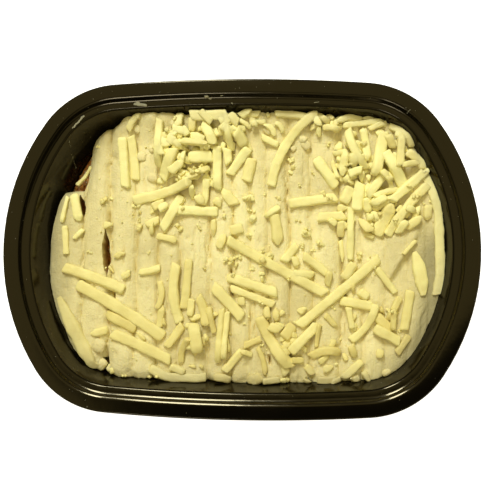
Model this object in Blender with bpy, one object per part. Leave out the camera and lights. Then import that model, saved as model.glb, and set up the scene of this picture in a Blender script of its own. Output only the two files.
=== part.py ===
# Shepherd's pie in its own oblong ready-meal tray.
# Sizes and places are written in millimetres, and new_object turns them into metres.
# The origin is under the middle of the tray's base, +X is the long way and +Z is up.

import math

import bmesh
import bpy
import numpy as np

MM = 0.001

# Tray: one thermoformed sheet with bowed sides, a flat flange, a ledge and a tapering wall.
TRAY_LENGTH = 190.0
TRAY_WIDTH = 136.0
TRAY_HEIGHT = 38.0
SHEET = 0.7
LONG_SIDE_RADIUS = 700.0
END_RADIUS = 89.0
CORNER_RADIUS = 37.0
FLANGE = 5.4
RIM_ROUND = (0.4, 0.25)
LEDGE_BEND = (0.7, 0.35)
LEDGE_DEPTH = 2.0
LEDGE_START = 7.6
LEDGE_END = 9.6
WALL_TOP_INSET = 10.3
WALL_TOP_Z = 35.4
WALL_SLOPE = 0.27
WALL_FOOT_Z = 4.5
FOOT_BEND = (1.1, 2.1)
FOOT_INSET = 3.6
FOOT_WIDTH = 9.0
PANEL_RISE = 0.8
PANEL_BEND = 1.0

# Fillings: the air gap kept round each solid, and the level where the mash starts.
GAP = 0.4
MINCE_BOTTOM = SHEET + PANEL_RISE + 0.3
MINCE_TOP = 17.0
MINCE_FOOT = 3.0
MASH_BOTTOM = MINCE_TOP + 0.35
MINCE_CELL = 7.0
MINCE_SETTLE = 0.9

# Mash: the crown level, what it loses towards the low left end, and the rounding of its edge.
MASH_CROWN = 28.3
MASH_TILT = 1.6
LEFT_FALL = 3.3
LEFT_FALL_START = -42.0
NOTCH_FALL = 4.5
NOTCH_MIDDLE = (-68.0, 42.0)
NOTCH_REACH = (9.0, 15.0)
EDGE_ROUND = 5.0
EDGE_DROP = 1.7
NOTCH_DROP = 4.5
FAR_SWELL = 1.7
FAR_SWELL_START = 40.0
RIGHT_SWELL = 1.4
RIGHT_SWELL_START = 56.0
SWELL_WIDTH = 16.0
SHARP_GROOVE = 2.6
RIB_COLUMNS = (0.0, 0.22, 0.78)
NOTCH_COLUMNS = (-65.7, -64.9)
RIB_DRIFT = 0.9
RIB_WAVE = (0.045, 2.6)
STRAIGHT_LEFT = (-66.0, 12.0)
HALF_WIDTH = 56.0
MASH_ROWS = 15

# Mash: the grooves between its piped ribs, as (place along X, depth).
GROOVES = [
    (-73.1, 0.8), (-66.1, 2.2), (-54.7, 3.6), (-43.4, 2.2), (-34.1, 1.7), (-25.1, 1.5),
    (-12.4, 2.2), (-2.7, 2.0), (4.3, 1.4), (11.4, 1.5), (20.4, 2.4), (29.4, 1.8), (41.4, 2.6),
    (49.9, 1.5), (58.9, 1.2), (67.9, 0.9), (75.9, 0.7),
]

# Mash: where ribs bulge, as (x, y, reach along X, reach along Y, rise).
BULGES = [(-35.5, 55.5, 8.5, 6.0, 2.2), (-45.6, -46.0, 8.0, 8.0, 1.5), (53.4, -42.0, 7.0, 7.0, 1.3)]

# Mash: its far and near edges, as (x, y).
FAR_EDGE = [
    (-81.3, -2), (-80.6, 4), (-79.2, 12), (-77.2, 20), (-75, 24), (-71, 24.5), (-67, 24.5), (-65.6, 30),
    (-64.9, 43), (-62.7, 47), (-57.5, 50.6), (-51.1, 52.6), (-48.6, 55.6), (-43.1, 57.4), (-35, 57.6),
    (-29, 56.8), (-26, 55.4), (-17, 57), (1, 57.6), (13, 57.6), (30, 57), (36, 54.4), (43, 54.4), (57, 54),
    (63, 51), (68, 46), (73, 41), (78, 33), (81, 25), (82.9, 12),
]
NEAR_EDGE = [
    (-81.3, -14), (-79.6, -22), (-76.4, -31), (-71.9, -39.9), (-66.8, -46.2), (-60.8, -50.4), (-57.6, -51.4),
    (-56.5, -46), (-54, -45.5), (-52.8, -51.4), (-49.2, -54.6), (-43.2, -55.8), (-35.1, -53.8), (-30.1, -55.6),
    (-23.1, -56.4), (-11.6, -54.4), (-3.1, -56.4), (6, -56.8), (23, -56.4), (41, -56), (44.4, -54.4),
    (51, -55.4), (59, -54.6), (67.2, -50), (72.8, -44.2), (77.3, -35.8), (81, -26.5), (82.9, -15),
]

# Gaps in the mash that show the mince, as (x0, y0, x1, y1, width).
MASH_GAPS = [
    (-55.2, 9.5, -55.1, -13.0, 3.4),
    (-67.8, 22.5, -66.2, 12.4, 2.4),
]
GAP_FOOT_SPREAD = 1.15
GAP_MOUTH_SPREAD = 1.9
GAP_LEAN = 1.1

# Lumps of mince that stand up where the mash leaves the corner bare, as (x, y, radius).
MINCE_LUMPS = [
    (-72.6, 27.4, 1.3), (-70.6, 28.6, 1.9), (-68.5, 28.4, 1.4), (-71.0, 31.4, 1.2),
    (-68.7, 32.3, 1.7), (-68.4, 35.8, 1.4), (-67.0, 39.0, 1.1),
]

# The fold of mash that laps over towards the right end, with the crease under its edge.
FOLD_START = (70.5, 2.0)
FOLD_END = (60.5, -14.5)
FOLD_RISE = 1.8
FOLD_REACH = 17.0
FOLD_SPAN = (0.45, 0.62)
FOLD_DIP = (1.08, 4.0)

# Grated cheese: strips as (x0, y0, x1, y1, width, bow), from the first laid to the last.
# The bow is how far the middle stands to the left of the straight line between the ends.
# The places are counted from the food's own middle, CHEESE_SHIFT to the right of the tray's.
CHEESE_SHIFT = 0.9
NEAR_STRETCH = 1.012
SHREDS = [
    (-55, -28, -43, -33.5, 4.0, 0.0),
    (-21.5, 37.3, -12.5, 37.8, 5.0, 0.0),
    (-26, 43.2, -14, 42.2, 2.8, 0.3),
    (8, 46, 15, 42.5, 2.8, 0.0),
    (-5.5, 54.3, -1.5, 50.8, 4.0, 0.0),
    (-2.5, 48.0, 1.0, 42.5, 4.6, 0.0),
    (-6.5, 50.0, -4.5, 41.0, 2.8, 0.0),
    (21.5, -10.3, 29.5, -10.8, 3.0, 0.0),
    (46.0, -6.0, 42.5, -12.0, 4.0, 0.0),
    (54.0, 20.5, 64.0, 23.5, 2.6, 0.8),
    (61.5, 21.0, 54.0, 16.0, 3.2, 0.0),
    (49.5, 48.5, 51.0, 35.5, 3.2, 0.4),
    (61.9, 52.6, 69.6, 42.2, 3.0, 0.0),
    (41.5, -21.2, 54.0, -23.4, 4.0, 0.0),
    (53.5, -26.0, 61.0, -32.5, 3.8, 0.0),
    (-17.5, -20.0, -14.5, -31.5, 3.6, 1.0),
    (-18.8, -32.0, -17.2, -42.0, 5.0, 0.0),
    (-20.2, -21.0, -20.6, -28.0, 3.0, 0.0),
    (-32.3, -23.5, -33.5, -33.0, 2.8, 0.0),
    (-50.6, 46.0, -48.6, 24.8, 3.8, 0.0),
    (-47.0, 46.5, -44.8, 28.0, 3.6, 0.3),
    (-34.3, 53.0, -34.8, 34.0, 3.2, 0.0),
    (-45.0, 19.5, -21.5, 26.8, 4.2, -0.8),
    (-71.5, 22.7, -68.7, 11.0, 3.9, 0.0),
    (-74.4, 21.5, -76.3, 10.5, 1.9, 0.0),
    (-75.0, 9.0, -74.0, -3.0, 2.7, 0.0),
    (-70.5, 3.5, -67.0, 7.5, 2.0, 0.0),
    (-74.6, -8.6, -48.2, -17.8, 4.3, 0.4),
    (-68.5, -15.5, -31.5, -36.6, 4.8, 0.8),
    (-42.0, -10.5, -33.6, -8.4, 3.0, -0.5),
    (-33.8, -14.0, -34.4, -25.0, 2.5, 1.5),
    (-76.4, -20.4, -59.5, -49.6, 5.2, 0.3),
    (-62.2, -35.8, -55.8, -34.2, 3.3, 0.0),
    (-52.5, -35.4, -28.5, -45.8, 4.5, 0.3),
    (-36.9, -48.9, -14.4, -53.9, 3.9, -2.2),
    (-28.5, -48.2, -22.4, -50.6, 2.8, 0.0),
    (-26.6, -7.0, -24.9, -30.4, 4.0, -1.9),
    (-21.6, -5.0, -23.4, -25.0, 3.5, 0.2),
    (-23.6, -31.6, -30.0, -40.6, 3.4, 0.0),
    (-20.6, -37.0, -24.0, -46.4, 2.7, -1.3),
    (-13.0, -24.5, -10.6, -34.5, 2.6, 0.0),
    (-7.6, -25.0, -9.0, -46.0, 2.6, 0.0),
    (-5.3, -26.0, -6.6, -44.5, 2.4, 0.0),
    (-11.3, -16.0, 0.8, -28.4, 4.4, 0.3),
    (0.8, -41.5, -6.6, -50.0, 3.2, 0.0),
    (8.6, -36.6, 1.5, -39.6, 2.8, 0.0),
    (8.6, -51.2, 2.9, -56.5, 4.4, 0.0),
    (-21.6, 54.4, -6.0, 54.4, 4.4, 0.0),
    (-25.9, 58.0, -26.5, 49.5, 3.6, 0.0),
    (-16.5, 51.0, -12.0, 42.4, 4.0, 0.8),
    (-10.4, 42.0, -10.0, 24.5, 3.7, 0.0),
    (-28.0, 40.2, -32.8, 28.2, 4.4, 0.0),
    (-24.0, 35.2, -29.2, 30.8, 4.0, 0.0),
    (2.6, 41.2, -5.3, 30.4, 4.0, 0.0),
    (4.0, 37.0, 2.0, 27.4, 4.6, 0.0),
    (-8.4, 24.2, -2.6, 17.6, 4.1, 0.0),
    (-14.6, 28.4, -15.5, 17.6, 3.1, 0.0),
    (-26.4, 15.4, -9.7, 14.8, 4.0, 0.0),
    (-25.2, 21.6, -32.9, 7.6, 4.0, 0.4),
    (-35.0, 4.6, -27.0, 2.6, 2.8, 0.2),
    (-6.6, 5.6, -9.4, -0.2, 3.5, 0.0),
    (-4.5, 7.0, 0.6, 8.0, 4.0, 0.0),
    (13.2, 14.0, 14.9, 1.0, 4.4, 0.5),
    (10.4, 13.0, 15.6, 16.6, 2.4, 0.0),
    (22.8, 1.2, 17.4, -5.6, 3.6, 0.0),
    (-5.5, -12.0, 15.0, -18.4, 3.8, 0.0),
    (-4.0, -16.6, 13.6, -23.0, 3.0, 0.0),
    (-5.6, 3.0, 34.8, -18.4, 4.0, -0.3),
    (25.4, -3.2, 35.8, -11.0, 3.5, 0.4),
    (36.0, -9.6, 35.2, -15.0, 2.8, 0.0),
    (31.4, 12.4, 42.4, 13.4, 3.9, 0.0),
    (20.0, 18.2, 38.7, 20.7, 4.0, 0.0),
    (13.6, 55.2, 27.0, 53.6, 3.3, 0.7),
    (30.4, 37.0, 38.6, 25.4, 4.2, 0.0),
    (42.6, 39.6, 41.0, 29.4, 3.6, 0.0),
    (44.6, 25.0, 41.6, 18.4, 4.3, 0.0),
    (44.6, 16.4, 44.6, -4.6, 2.9, 0.0),
    (48.7, 26.8, 47.0, 15.2, 4.6, 0.0),
    (70.0, -1.4, 73.2, -18.7, 5.2, 0.6),
    (58.0, 47.4, 54.6, 30.4, 4.4, 0.0),
    (43.4, 48.4, 50.6, 32.8, 3.4, -1.5),
    (64.7, 46.2, 64.0, 33.0, 3.2, 0.0),
    (59.5, 46.0, 61.8, 41.2, 3.2, 0.0),
    (67.4, 39.2, 75.4, 33.4, 3.6, 0.0),
    (41.4, 50.3, 57.8, 52.4, 2.5, 0.0),
    (59.0, 31.4, 51.8, 21.8, 3.6, 0.0),
    (61.0, 17.6, 54.8, 5.2, 5.0, 0.0),
    (58.4, 38.8, 66.0, 25.2, 4.4, 0.0),
    (75.4, 32.2, 60.6, 18.8, 3.7, 0.0),
    (75.6, 25.8, 59.4, 5.4, 3.6, -1.0),
    (66.6, 8.0, 72.6, 12.6, 3.6, 0.0),
    (75.8, 17.6, 75.0, 11.4, 3.4, 0.0),
    (78.0, 32.6, 80.1, -18.8, 3.8, 0.9),
    (55.0, -8.0, 62.6, -17.8, 2.7, 0.0),
    (8.0, -28.0, 20.6, -47.6, 4.5, -1.2),
    (21.6, -31.0, 17.6, -36.2, 4.5, 0.0),
    (31.6, -30.6, 20.6, -41.6, 4.0, 0.0),
    (56.0, -4.0, 23.7, -31.4, 3.9, 0.3),
    (34.4, -26.6, 38.6, -31.2, 2.5, 0.0),
    (29.0, -43.4, 40.0, -41.6, 3.5, 1.5),
    (31.5, -53.0, 39.0, -53.2, 3.4, 0.0),
    (54.6, -22.6, 44.6, -36.8, 3.2, 1.9),
    (54.0, -31.8, 64.2, -37.0, 4.0, 0.0),
    (64.2, -19.4, 61.2, -25.2, 2.9, 0.0),
    (68.4, -16.8, 65.8, -32.4, 3.7, 0.0),
    (67.8, -34.4, 62.8, -41.6, 2.9, 0.0),
    (49.0, -45.0, 42.2, -51.6, 3.2, 0.0),
    (30.9, 56.0, 12.2, 25.5, 4.0, -4.0),
]
SHRED_THICKNESS = 2.1
SHRED_SINK = 0.55
SHRED_TOP = 0.8
SHRED_STATIONS = 9
SHRED_SEGMENT = 9.0
SHRED_STIFFNESS = 0.10
HIGHEST_CHEESE = 34.6


# Outline of the tray: six arcs, all with centres that an inset leaves where they are.

def corner_centre():
    """The centre of the corner arc that touches both the long side's arc and the end's arc."""
    side_y = TRAY_WIDTH / 2 - LONG_SIDE_RADIUS
    end_x = TRAY_LENGTH / 2 - END_RADIUS
    to_side = LONG_SIDE_RADIUS - CORNER_RADIUS
    to_end = END_RADIUS - CORNER_RADIUS
    between = math.hypot(end_x, side_y)
    along = (to_side**2 - to_end**2 + between**2) / (2 * between)
    off = math.sqrt(to_side**2 - along**2)
    ux, uy = end_x / between, -side_y / between
    return ux * along + uy * off, side_y + uy * along - ux * off


CORNER_X, CORNER_Y = corner_centre()
SIDE_Y = TRAY_WIDTH / 2 - LONG_SIDE_RADIUS
END_X = TRAY_LENGTH / 2 - END_RADIUS
END_ANGLE = math.atan2(CORNER_Y, CORNER_X - END_X)
SIDE_ANGLE = math.atan2(CORNER_Y - SIDE_Y, CORNER_X)


def outline(inset, corner_steps=8, side_steps=4, end_steps=8):
    """The tray's outline moved inwards, anticlockwise from the right end, as a list of (x, y)."""
    arcs = [
        (END_X, 0, END_RADIUS, -END_ANGLE, END_ANGLE, end_steps),
        (CORNER_X, CORNER_Y, CORNER_RADIUS, END_ANGLE, SIDE_ANGLE, corner_steps),
        (0, SIDE_Y, LONG_SIDE_RADIUS, SIDE_ANGLE, math.pi - SIDE_ANGLE, side_steps),
        (-CORNER_X, CORNER_Y, CORNER_RADIUS, math.pi - SIDE_ANGLE, math.pi - END_ANGLE, corner_steps),
    ]
    points = []
    for turn in (1, -1):
        for x, y, radius, start, end, steps in arcs:
            for angle in np.linspace(start, end, steps, endpoint=False):
                reach = radius - inset
                points.append((turn * (x + reach * math.cos(angle)), turn * (y + reach * math.sin(angle))))
    return points


def rim_distance(x, y):
    """How far a point lies inside the tray's outline, and the way out from it."""
    ax, ay = abs(x), abs(y)
    angle = math.atan2(ay, ax - END_X)
    if ax > END_X and angle < END_ANGLE:
        cx, cy, radius = END_X, 0.0, END_RADIUS
    elif math.atan2(ay - SIDE_Y, ax) > SIDE_ANGLE:
        cx, cy, radius = 0.0, SIDE_Y, LONG_SIDE_RADIUS
    else:
        cx, cy, radius = CORNER_X, CORNER_Y, CORNER_RADIUS
    dx, dy = ax - cx, ay - cy
    reach = max(math.hypot(dx, dy), 1e-9)
    return radius - reach, math.copysign(dx / reach, x), math.copysign(dy / reach, y)


def wall_inset(z):
    """How far inside the outline the wall's inner face is at a height."""
    return WALL_TOP_INSET + (WALL_TOP_Z - z) * WALL_SLOPE


def inside_wall(x, y, z, gap=GAP):
    """The point, moved straight inwards where it would come nearer the wall than the gap."""
    distance, out_x, out_y = rim_distance(x, y)
    short = wall_inset(z) + gap - distance
    if short > 0:
        x, y = x - out_x * short, y - out_y * short
    return x, y


# Making objects.

def plain_material(name, colour, roughness):
    material = bpy.data.materials.new(name)
    material.use_nodes = True
    shader = material.node_tree.nodes["Principled BSDF"]
    shader.inputs["Base Color"].default_value = (*colour, 1.0)
    shader.inputs["Roughness"].default_value = roughness
    shader.inputs["Metallic"].default_value = 0.0
    return material


def new_object(name, points, faces, material):
    """A mesh object from points in millimetres, with its faces turned outwards."""
    mesh = bpy.data.meshes.new(name)
    mesh.from_pydata([(x * MM, y * MM, z * MM) for x, y, z in points], [], faces)
    shape = bmesh.new()
    shape.from_mesh(mesh)
    bmesh.ops.recalc_face_normals(shape, faces=shape.faces)
    bmesh.ops.triangulate(shape, faces=[face for face in shape.faces if len(face.verts) > 4])
    shape.to_mesh(mesh)
    shape.free()
    mesh.materials.append(material)
    made = bpy.data.objects.new(name, mesh)
    bpy.context.scene.collection.objects.link(made)
    return made


def bake_modifiers(target):
    """Turns the object's modifiers into plain mesh."""
    graph = bpy.context.evaluated_depsgraph_get()
    mesh = bpy.data.meshes.new_from_object(target.evaluated_get(graph))
    target.modifiers.clear()
    target.data = mesh


def boolean(target, cutters, operation, solver="EXACT"):
    """One Boolean of the target with all the given objects, applied, with those objects then removed."""
    helpers = bpy.data.collections.new("helpers")
    bpy.context.scene.collection.children.link(helpers)
    for cutter in cutters:
        bpy.context.scene.collection.objects.unlink(cutter)
        helpers.objects.link(cutter)
    step = target.modifiers.new(operation, "BOOLEAN")
    step.operation = operation
    step.solver = solver
    step.operand_type = "COLLECTION"
    step.collection = helpers
    bake_modifiers(target)
    for cutter in list(helpers.objects):
        bpy.data.objects.remove(cutter)
    bpy.data.collections.remove(helpers)


def tidy_solid(target):
    """Keeps the largest closed body, drops any loose scrap and splits every face into triangles."""
    shape = bmesh.new()
    shape.from_mesh(target.data)
    bmesh.ops.triangulate(shape, faces=shape.faces)
    waiting = set(shape.verts)
    bodies = []
    while waiting:
        front = [waiting.pop()]
        body = list(front)
        while front:
            for edge in front.pop().link_edges:
                for vertex in edge.verts:
                    if vertex in waiting:
                        waiting.remove(vertex)
                        front.append(vertex)
                        body.append(vertex)
        bodies.append(body)
    bodies.sort(key=len)
    for scrap in bodies[:-1]:
        bmesh.ops.delete(shape, geom=scrap, context="VERTS")
    shape.to_mesh(target.data)
    shape.free()


# Tray.

def build_tray():
    """The inner face as one lofted skin from the flange to the base, thickened outwards to the sheet."""
    top = TRAY_HEIGHT
    foot = wall_inset(WALL_FOOT_Z)
    profile = [
        (0.0, top - RIM_ROUND[1]),
        (RIM_ROUND[0], top),
        (FLANGE, top),
        (FLANGE + LEDGE_BEND[0], top - LEDGE_BEND[1]),
        (LEDGE_START - LEDGE_BEND[0], top - LEDGE_DEPTH + LEDGE_BEND[1]),
        (LEDGE_START, top - LEDGE_DEPTH),
        (LEDGE_END, top - LEDGE_DEPTH),
        (WALL_TOP_INSET, WALL_TOP_Z),
        (foot, WALL_FOOT_Z),
        (foot + FOOT_BEND[0], FOOT_BEND[1]),
        (foot + FOOT_INSET, SHEET),
        (foot + FOOT_INSET + FOOT_WIDTH, SHEET),
        (foot + FOOT_INSET + FOOT_WIDTH + PANEL_BEND, SHEET + PANEL_RISE),
    ]
    points = []
    for inset, z in profile:
        points.extend((x, y, z) for x, y in outline(inset))
    count = len(outline(0))
    faces = []
    for ring in range(len(profile) - 1):
        for k in range(count):
            a = ring * count + k
            b = ring * count + (k + 1) % count
            faces.append((a, b, b + count, a + count))
    last = (len(profile) - 1) * count
    faces.append(tuple(range(last, last + count)))
    tray = new_object("tray", points, faces, plain_material("black_plastic", (0.012, 0.011, 0.009), 0.32))
    base = max(tray.data.polygons, key=lambda face: len(face.vertices) if face.center.z < 2 * SHEET * MM else 0)
    if base.normal.z < 0:
        tray.data.flip_normals()
    thicken = tray.modifiers.new("sheet", "SOLIDIFY")
    thicken.thickness = SHEET * MM
    thicken.offset = -1.0
    thicken.use_even_offset = True
    bake_modifiers(tray)
    for vertex in tray.data.vertices:
        if vertex.co.z < 0.2 * MM:
            vertex.co.z = 0.0
    tray.data.shade_smooth()
    tray.data.set_sharp_from_angle(angle=math.radians(35))
    return tray


# Mince filling.

def build_mince():
    """A slab that fills the lower half of the tray, with lumps where the mash leaves it bare."""
    colour = plain_material("mince", (0.16, 0.055, 0.022), 0.35)
    low = outline(wall_inset(MINCE_BOTTOM) + GAP + MINCE_FOOT, 5, 4, 6)
    lift = outline(wall_inset(WALL_FOOT_Z) + GAP, 5, 4, 6)
    high = outline(wall_inset(MINCE_TOP) + GAP, 5, 4, 6)
    count = len(low)
    points = [(x, y, MINCE_BOTTOM) for x, y in low]
    points += [(x, y, WALL_FOOT_Z) for x, y in lift]
    points += [(x, y, MINCE_TOP) for x, y in high]
    faces = [tuple(range(count))]
    for ring in range(2):
        for k in range(count):
            a = ring * count + k
            b = ring * count + (k + 1) % count
            faces.append((a, b, b + count, a + count))
    rings = 4
    for ring in range(1, rings):
        inner = outline(wall_inset(MINCE_TOP) + GAP + ring * MINCE_CELL, 5, 4, 6)
        points += [(x, y, MINCE_TOP - MINCE_SETTLE * (0.5 + 0.5 * math.sin(5 * k + 3 * ring)))
                   for k, (x, y) in enumerate(inner)]
        for k in range(count):
            a = (ring + 1) * count + k
            b = (ring + 1) * count + (k + 1) % count
            faces.append((a, b, b + count, a + count))
    faces.append(tuple(range((rings + 1) * count, (rings + 2) * count)))
    mince = new_object("mince_filling", points, faces, colour)
    lumps = []
    for x, y, radius in MINCE_LUMPS:
        mesh = bpy.data.meshes.new("lump")
        shape = bmesh.new()
        bmesh.ops.create_icosphere(shape, subdivisions=1, radius=radius * MM)
        for k, vertex in enumerate(shape.verts):
            vertex.co *= 0.93 + 0.07 * math.sin(7 * k + x)
            vertex.co += type(vertex.co)((x * MM, y * MM, (MINCE_TOP - 0.1) * MM))
        shape.to_mesh(mesh)
        shape.free()
        lump = bpy.data.objects.new("lump", mesh)
        bpy.context.scene.collection.objects.link(lump)
        lumps.append(lump)
    boolean(mince, lumps, "UNION")
    tidy_solid(mince)
    return mince


# Mash topping.

FAR_X, FAR_Y = (np.array(side, float) for side in zip(*FAR_EDGE))
NEAR_X, NEAR_Y = (np.array(side, float) for side in zip(*NEAR_EDGE))
LEFT_END, RIGHT_END = NEAR_X[0], NEAR_X[-1]
GROOVE_X = np.array([LEFT_END] + [x for x, _ in GROOVES] + [RIGHT_END + 0.2])
GROOVE_DEPTH = np.array([0.6] + [depth for _, depth in GROOVES] + [0.6])


def far_edge(x):
    return np.interp(x, FAR_X, FAR_Y)


def near_edge(x):
    return np.interp(x, NEAR_X, NEAR_Y)


def rib_drift(x, y):
    """How far the ribs wander sideways along their length, which fades out at their ends and at the left."""
    fade = (1 - (y / HALF_WIDTH) ** 2) * np.clip((x - STRAIGHT_LEFT[0]) / STRAIGHT_LEFT[1], 0, 1)
    return RIB_DRIFT * np.sin(RIB_WAVE[0] * y + RIB_WAVE[1]) * fade


def edge_distance(x, y):
    """Roughly how far a point lies inside the edge of the mash."""
    nearest = np.minimum(x - LEFT_END, RIGHT_END - x)
    for step in np.linspace(-EDGE_ROUND, EDGE_ROUND, 11):
        for room in (far_edge(x + step) - y, y - near_edge(x + step)):
            nearest = np.minimum(nearest, np.hypot(step, np.maximum(room, 0)))
    return nearest


def swell(place, start):
    """A smooth rise from 0 to 1 over the last stretch before an edge."""
    share = np.clip((place - start) / SWELL_WIDTH, 0, 1)
    return share * share * (3 - 2 * share)


def mash_top(x, y):
    """The height of the mash: a tilted bed, ribs with grooves, a folded lap and a rounded edge."""
    x = np.asarray(x, float)
    y = np.asarray(y, float)
    z = MASH_CROWN + MASH_TILT * y / HALF_WIDTH
    z = z + FAR_SWELL * swell(y, FAR_SWELL_START) + RIGHT_SWELL * swell(x, RIGHT_SWELL_START)
    fall = np.clip((LEFT_FALL_START - x) / (LEFT_FALL_START - LEFT_END), 0, 1)
    z = z - LEFT_FALL * fall**1.5
    for bulge_x, bulge_y, reach_x, reach_y, rise in BULGES:
        z = z + rise * np.exp(-(((x - bulge_x) / reach_x) ** 2) - ((y - bulge_y) / reach_y) ** 2)
    notch_x = (x - NOTCH_MIDDLE[0]) / NOTCH_REACH[0]
    notch_y = (y - NOTCH_MIDDLE[1]) / NOTCH_REACH[1]
    z = z - NOTCH_FALL * np.exp(-(notch_x**2) - notch_y**2)
    local = np.clip(x - rib_drift(x, y), GROOVE_X[0], GROOVE_X[-1])
    rib = np.clip(np.searchsorted(GROOVE_X, local, side="right") - 1, 0, len(GROOVE_X) - 2)
    share = (local - GROOVE_X[rib]) / (GROOVE_X[rib + 1] - GROOVE_X[rib])
    depth = GROOVE_DEPTH[rib] * (1 - share) + GROOVE_DEPTH[rib + 1] * share
    crown = np.clip(4 * share * (1 - share), 0, 1)
    sharp = np.clip(depth / SHARP_GROOVE, 0, 1)
    z = z - depth * (sharp * (1 - np.sqrt(crown)) + (1 - sharp) * (1 - crown) ** 1.5)
    ax, ay = FOLD_START
    bx, by = FOLD_END
    length = math.hypot(bx - ax, by - ay)
    along = ((x - ax) * (bx - ax) + (y - ay) * (by - ay)) / length**2
    across = ((x - ax) * (by - ay) - (y - ay) * (bx - ax)) / length
    lap = np.exp(-((along - FOLD_SPAN[0]) / FOLD_SPAN[1]) ** 4)
    over = FOLD_RISE * np.clip(1 - across / FOLD_REACH, 0, 1)
    under = -FOLD_DIP[0] * np.exp(np.minimum(across, 0) / FOLD_DIP[1])
    z = z + lap * np.where(across > 0, over, under)
    edge = np.clip(edge_distance(x, y) / EDGE_ROUND, 0, 1)
    drop = EDGE_DROP + (NOTCH_DROP - EDGE_DROP) * np.exp(-((notch_x / 2) ** 4) - (notch_y / 1.4) ** 4)
    return z - drop * (1 - np.sqrt(np.clip(1 - (1 - edge) ** 2, 0, 1)))


def mash_columns():
    """The grid's places along X: each groove, and a few between it and the next."""
    columns = list(NOTCH_COLUMNS)
    for start, end in zip(GROOVE_X[:-1], GROOVE_X[1:]):
        columns += [start + (end - start) * part for part in RIB_COLUMNS]
    columns.append(RIGHT_END)
    return np.array(sorted(columns))


def build_mash_bed():
    """A closed bed of mash: a grid of ribs on top, a flat underside and sides that follow the tray's wall."""
    columns = mash_columns()
    share = 0.5 - 0.5 * np.cos(np.linspace(0.0, math.pi, MASH_ROWS))
    share = 0.55 * share + 0.45 * np.linspace(0, 1, MASH_ROWS)
    points = []
    for column in columns:
        for part in share:
            y = near_edge(column) + (far_edge(column) - near_edge(column)) * part
            x = min(max(column + float(rib_drift(column, y)), LEFT_END), RIGHT_END)
            y = float(near_edge(x) + (far_edge(x) - near_edge(x)) * part)
            z = max(float(mash_top(x, y)), MASH_BOTTOM + 1.0)
            x, y = inside_wall(x, y, z)
            points.append((x, y, z))
    rows = MASH_ROWS
    width = len(columns)
    faces = []
    for i in range(width - 1):
        for j in range(rows - 1):
            a = i * rows + j
            faces.append((a, a + rows, a + rows + 1, a + 1))
    border = [i * rows for i in range(width)]
    border += [(width - 1) * rows + j for j in range(1, rows)]
    border += [i * rows + rows - 1 for i in range(width - 2, -1, -1)]
    border += [j for j in range(rows - 2, 0, -1)]
    under = []
    for index in border:
        x, y, _ = points[index]
        x, y = inside_wall(x, y, MASH_BOTTOM)
        under.append(len(points))
        points.append((x, y, MASH_BOTTOM))
    for k in range(len(border)):
        after = (k + 1) % len(border)
        faces.append((border[k], border[after], under[after], under[k]))
    faces.append(tuple(under))
    return new_object("mash_topping", points, faces, plain_material("mash", (0.80, 0.69, 0.38), 0.5))


def gap_cutter(x0, y0, x1, y1, width):
    """A long pointed wedge, wider at the top, that opens a gap through the mash and undercuts its left side."""
    length = math.hypot(x1 - x0, y1 - y0)
    ux, uy = (x1 - x0) / length, (y1 - y0) / length
    points = []
    for z, spread, lean in ((MASH_BOTTOM - 2, GAP_FOOT_SPREAD, -GAP_LEAN), (TRAY_HEIGHT, GAP_MOUTH_SPREAD, 0)):
        for along, side in ((0, 0), (0.25, 0.5), (0.75, 0.5), (1, 0), (0.75, -0.5), (0.25, -0.5)):
            off = side * width * spread
            x = x0 + ux * length * along - uy * off + lean
            y = y0 + uy * length * along + ux * off
            points.append((x, y, z))
    faces = [tuple(range(5, -1, -1)), tuple(range(6, 12))]
    faces += [(k, (k + 1) % 6, (k + 1) % 6 + 6, k + 6) for k in range(6)]
    return new_object("gap", points, faces, bpy.data.materials["mash"])


# Cheese.

class Pile:
    """The height of everything laid so far, on a grid of one-millimetre cells."""

    def __init__(self):
        self.x0, self.y0 = -90, -64
        xs = np.arange(self.x0, -self.x0 + 1)
        ys = np.arange(self.y0, -self.y0 + 1)
        self.gx, self.gy = np.meshgrid(xs, ys, indexing="ij")
        self.z = mash_top(self.gx, self.gy)

    def height(self, x, y):
        i = int(min(max(round(x - self.x0), 0), self.z.shape[0] - 1))
        j = int(min(max(round(y - self.y0), 0), self.z.shape[1] - 1))
        return float(self.z[i, j])

    def lay(self, line, top, width):
        """Raises the cells under one strip to its top."""
        for (x0, y0), (x1, y1), z0, z1 in zip(line[:-1], line[1:], top[:-1], top[1:]):
            length = max(math.hypot(x1 - x0, y1 - y0), 1e-6)
            along = ((self.gx - x0) * (x1 - x0) + (self.gy - y0) * (y1 - y0)) / length**2
            across = np.abs((self.gx - x0) * (y1 - y0) - (self.gy - y0) * (x1 - x0)) / length
            under = (along > -0.05) & (along < 1.05) & (across < width / 2)
            self.z = np.where(under, np.maximum(self.z, z0 + (z1 - z0) * np.clip(along, 0, 1)), self.z)


def strip_line(x0, y0, x1, y1, bow):
    """Places along one strip, on a shallow arc."""
    length = math.hypot(x1 - x0, y1 - y0)
    across = (-(y1 - y0) / length, (x1 - x0) / length)
    line = []
    for part in np.linspace(0, 1, SHRED_STATIONS):
        lift = 4 * part * (1 - part) * bow
        line.append((x0 + (x1 - x0) * part + across[0] * lift, y0 + (y1 - y0) * part + across[1] * lift))
    return line


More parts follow.
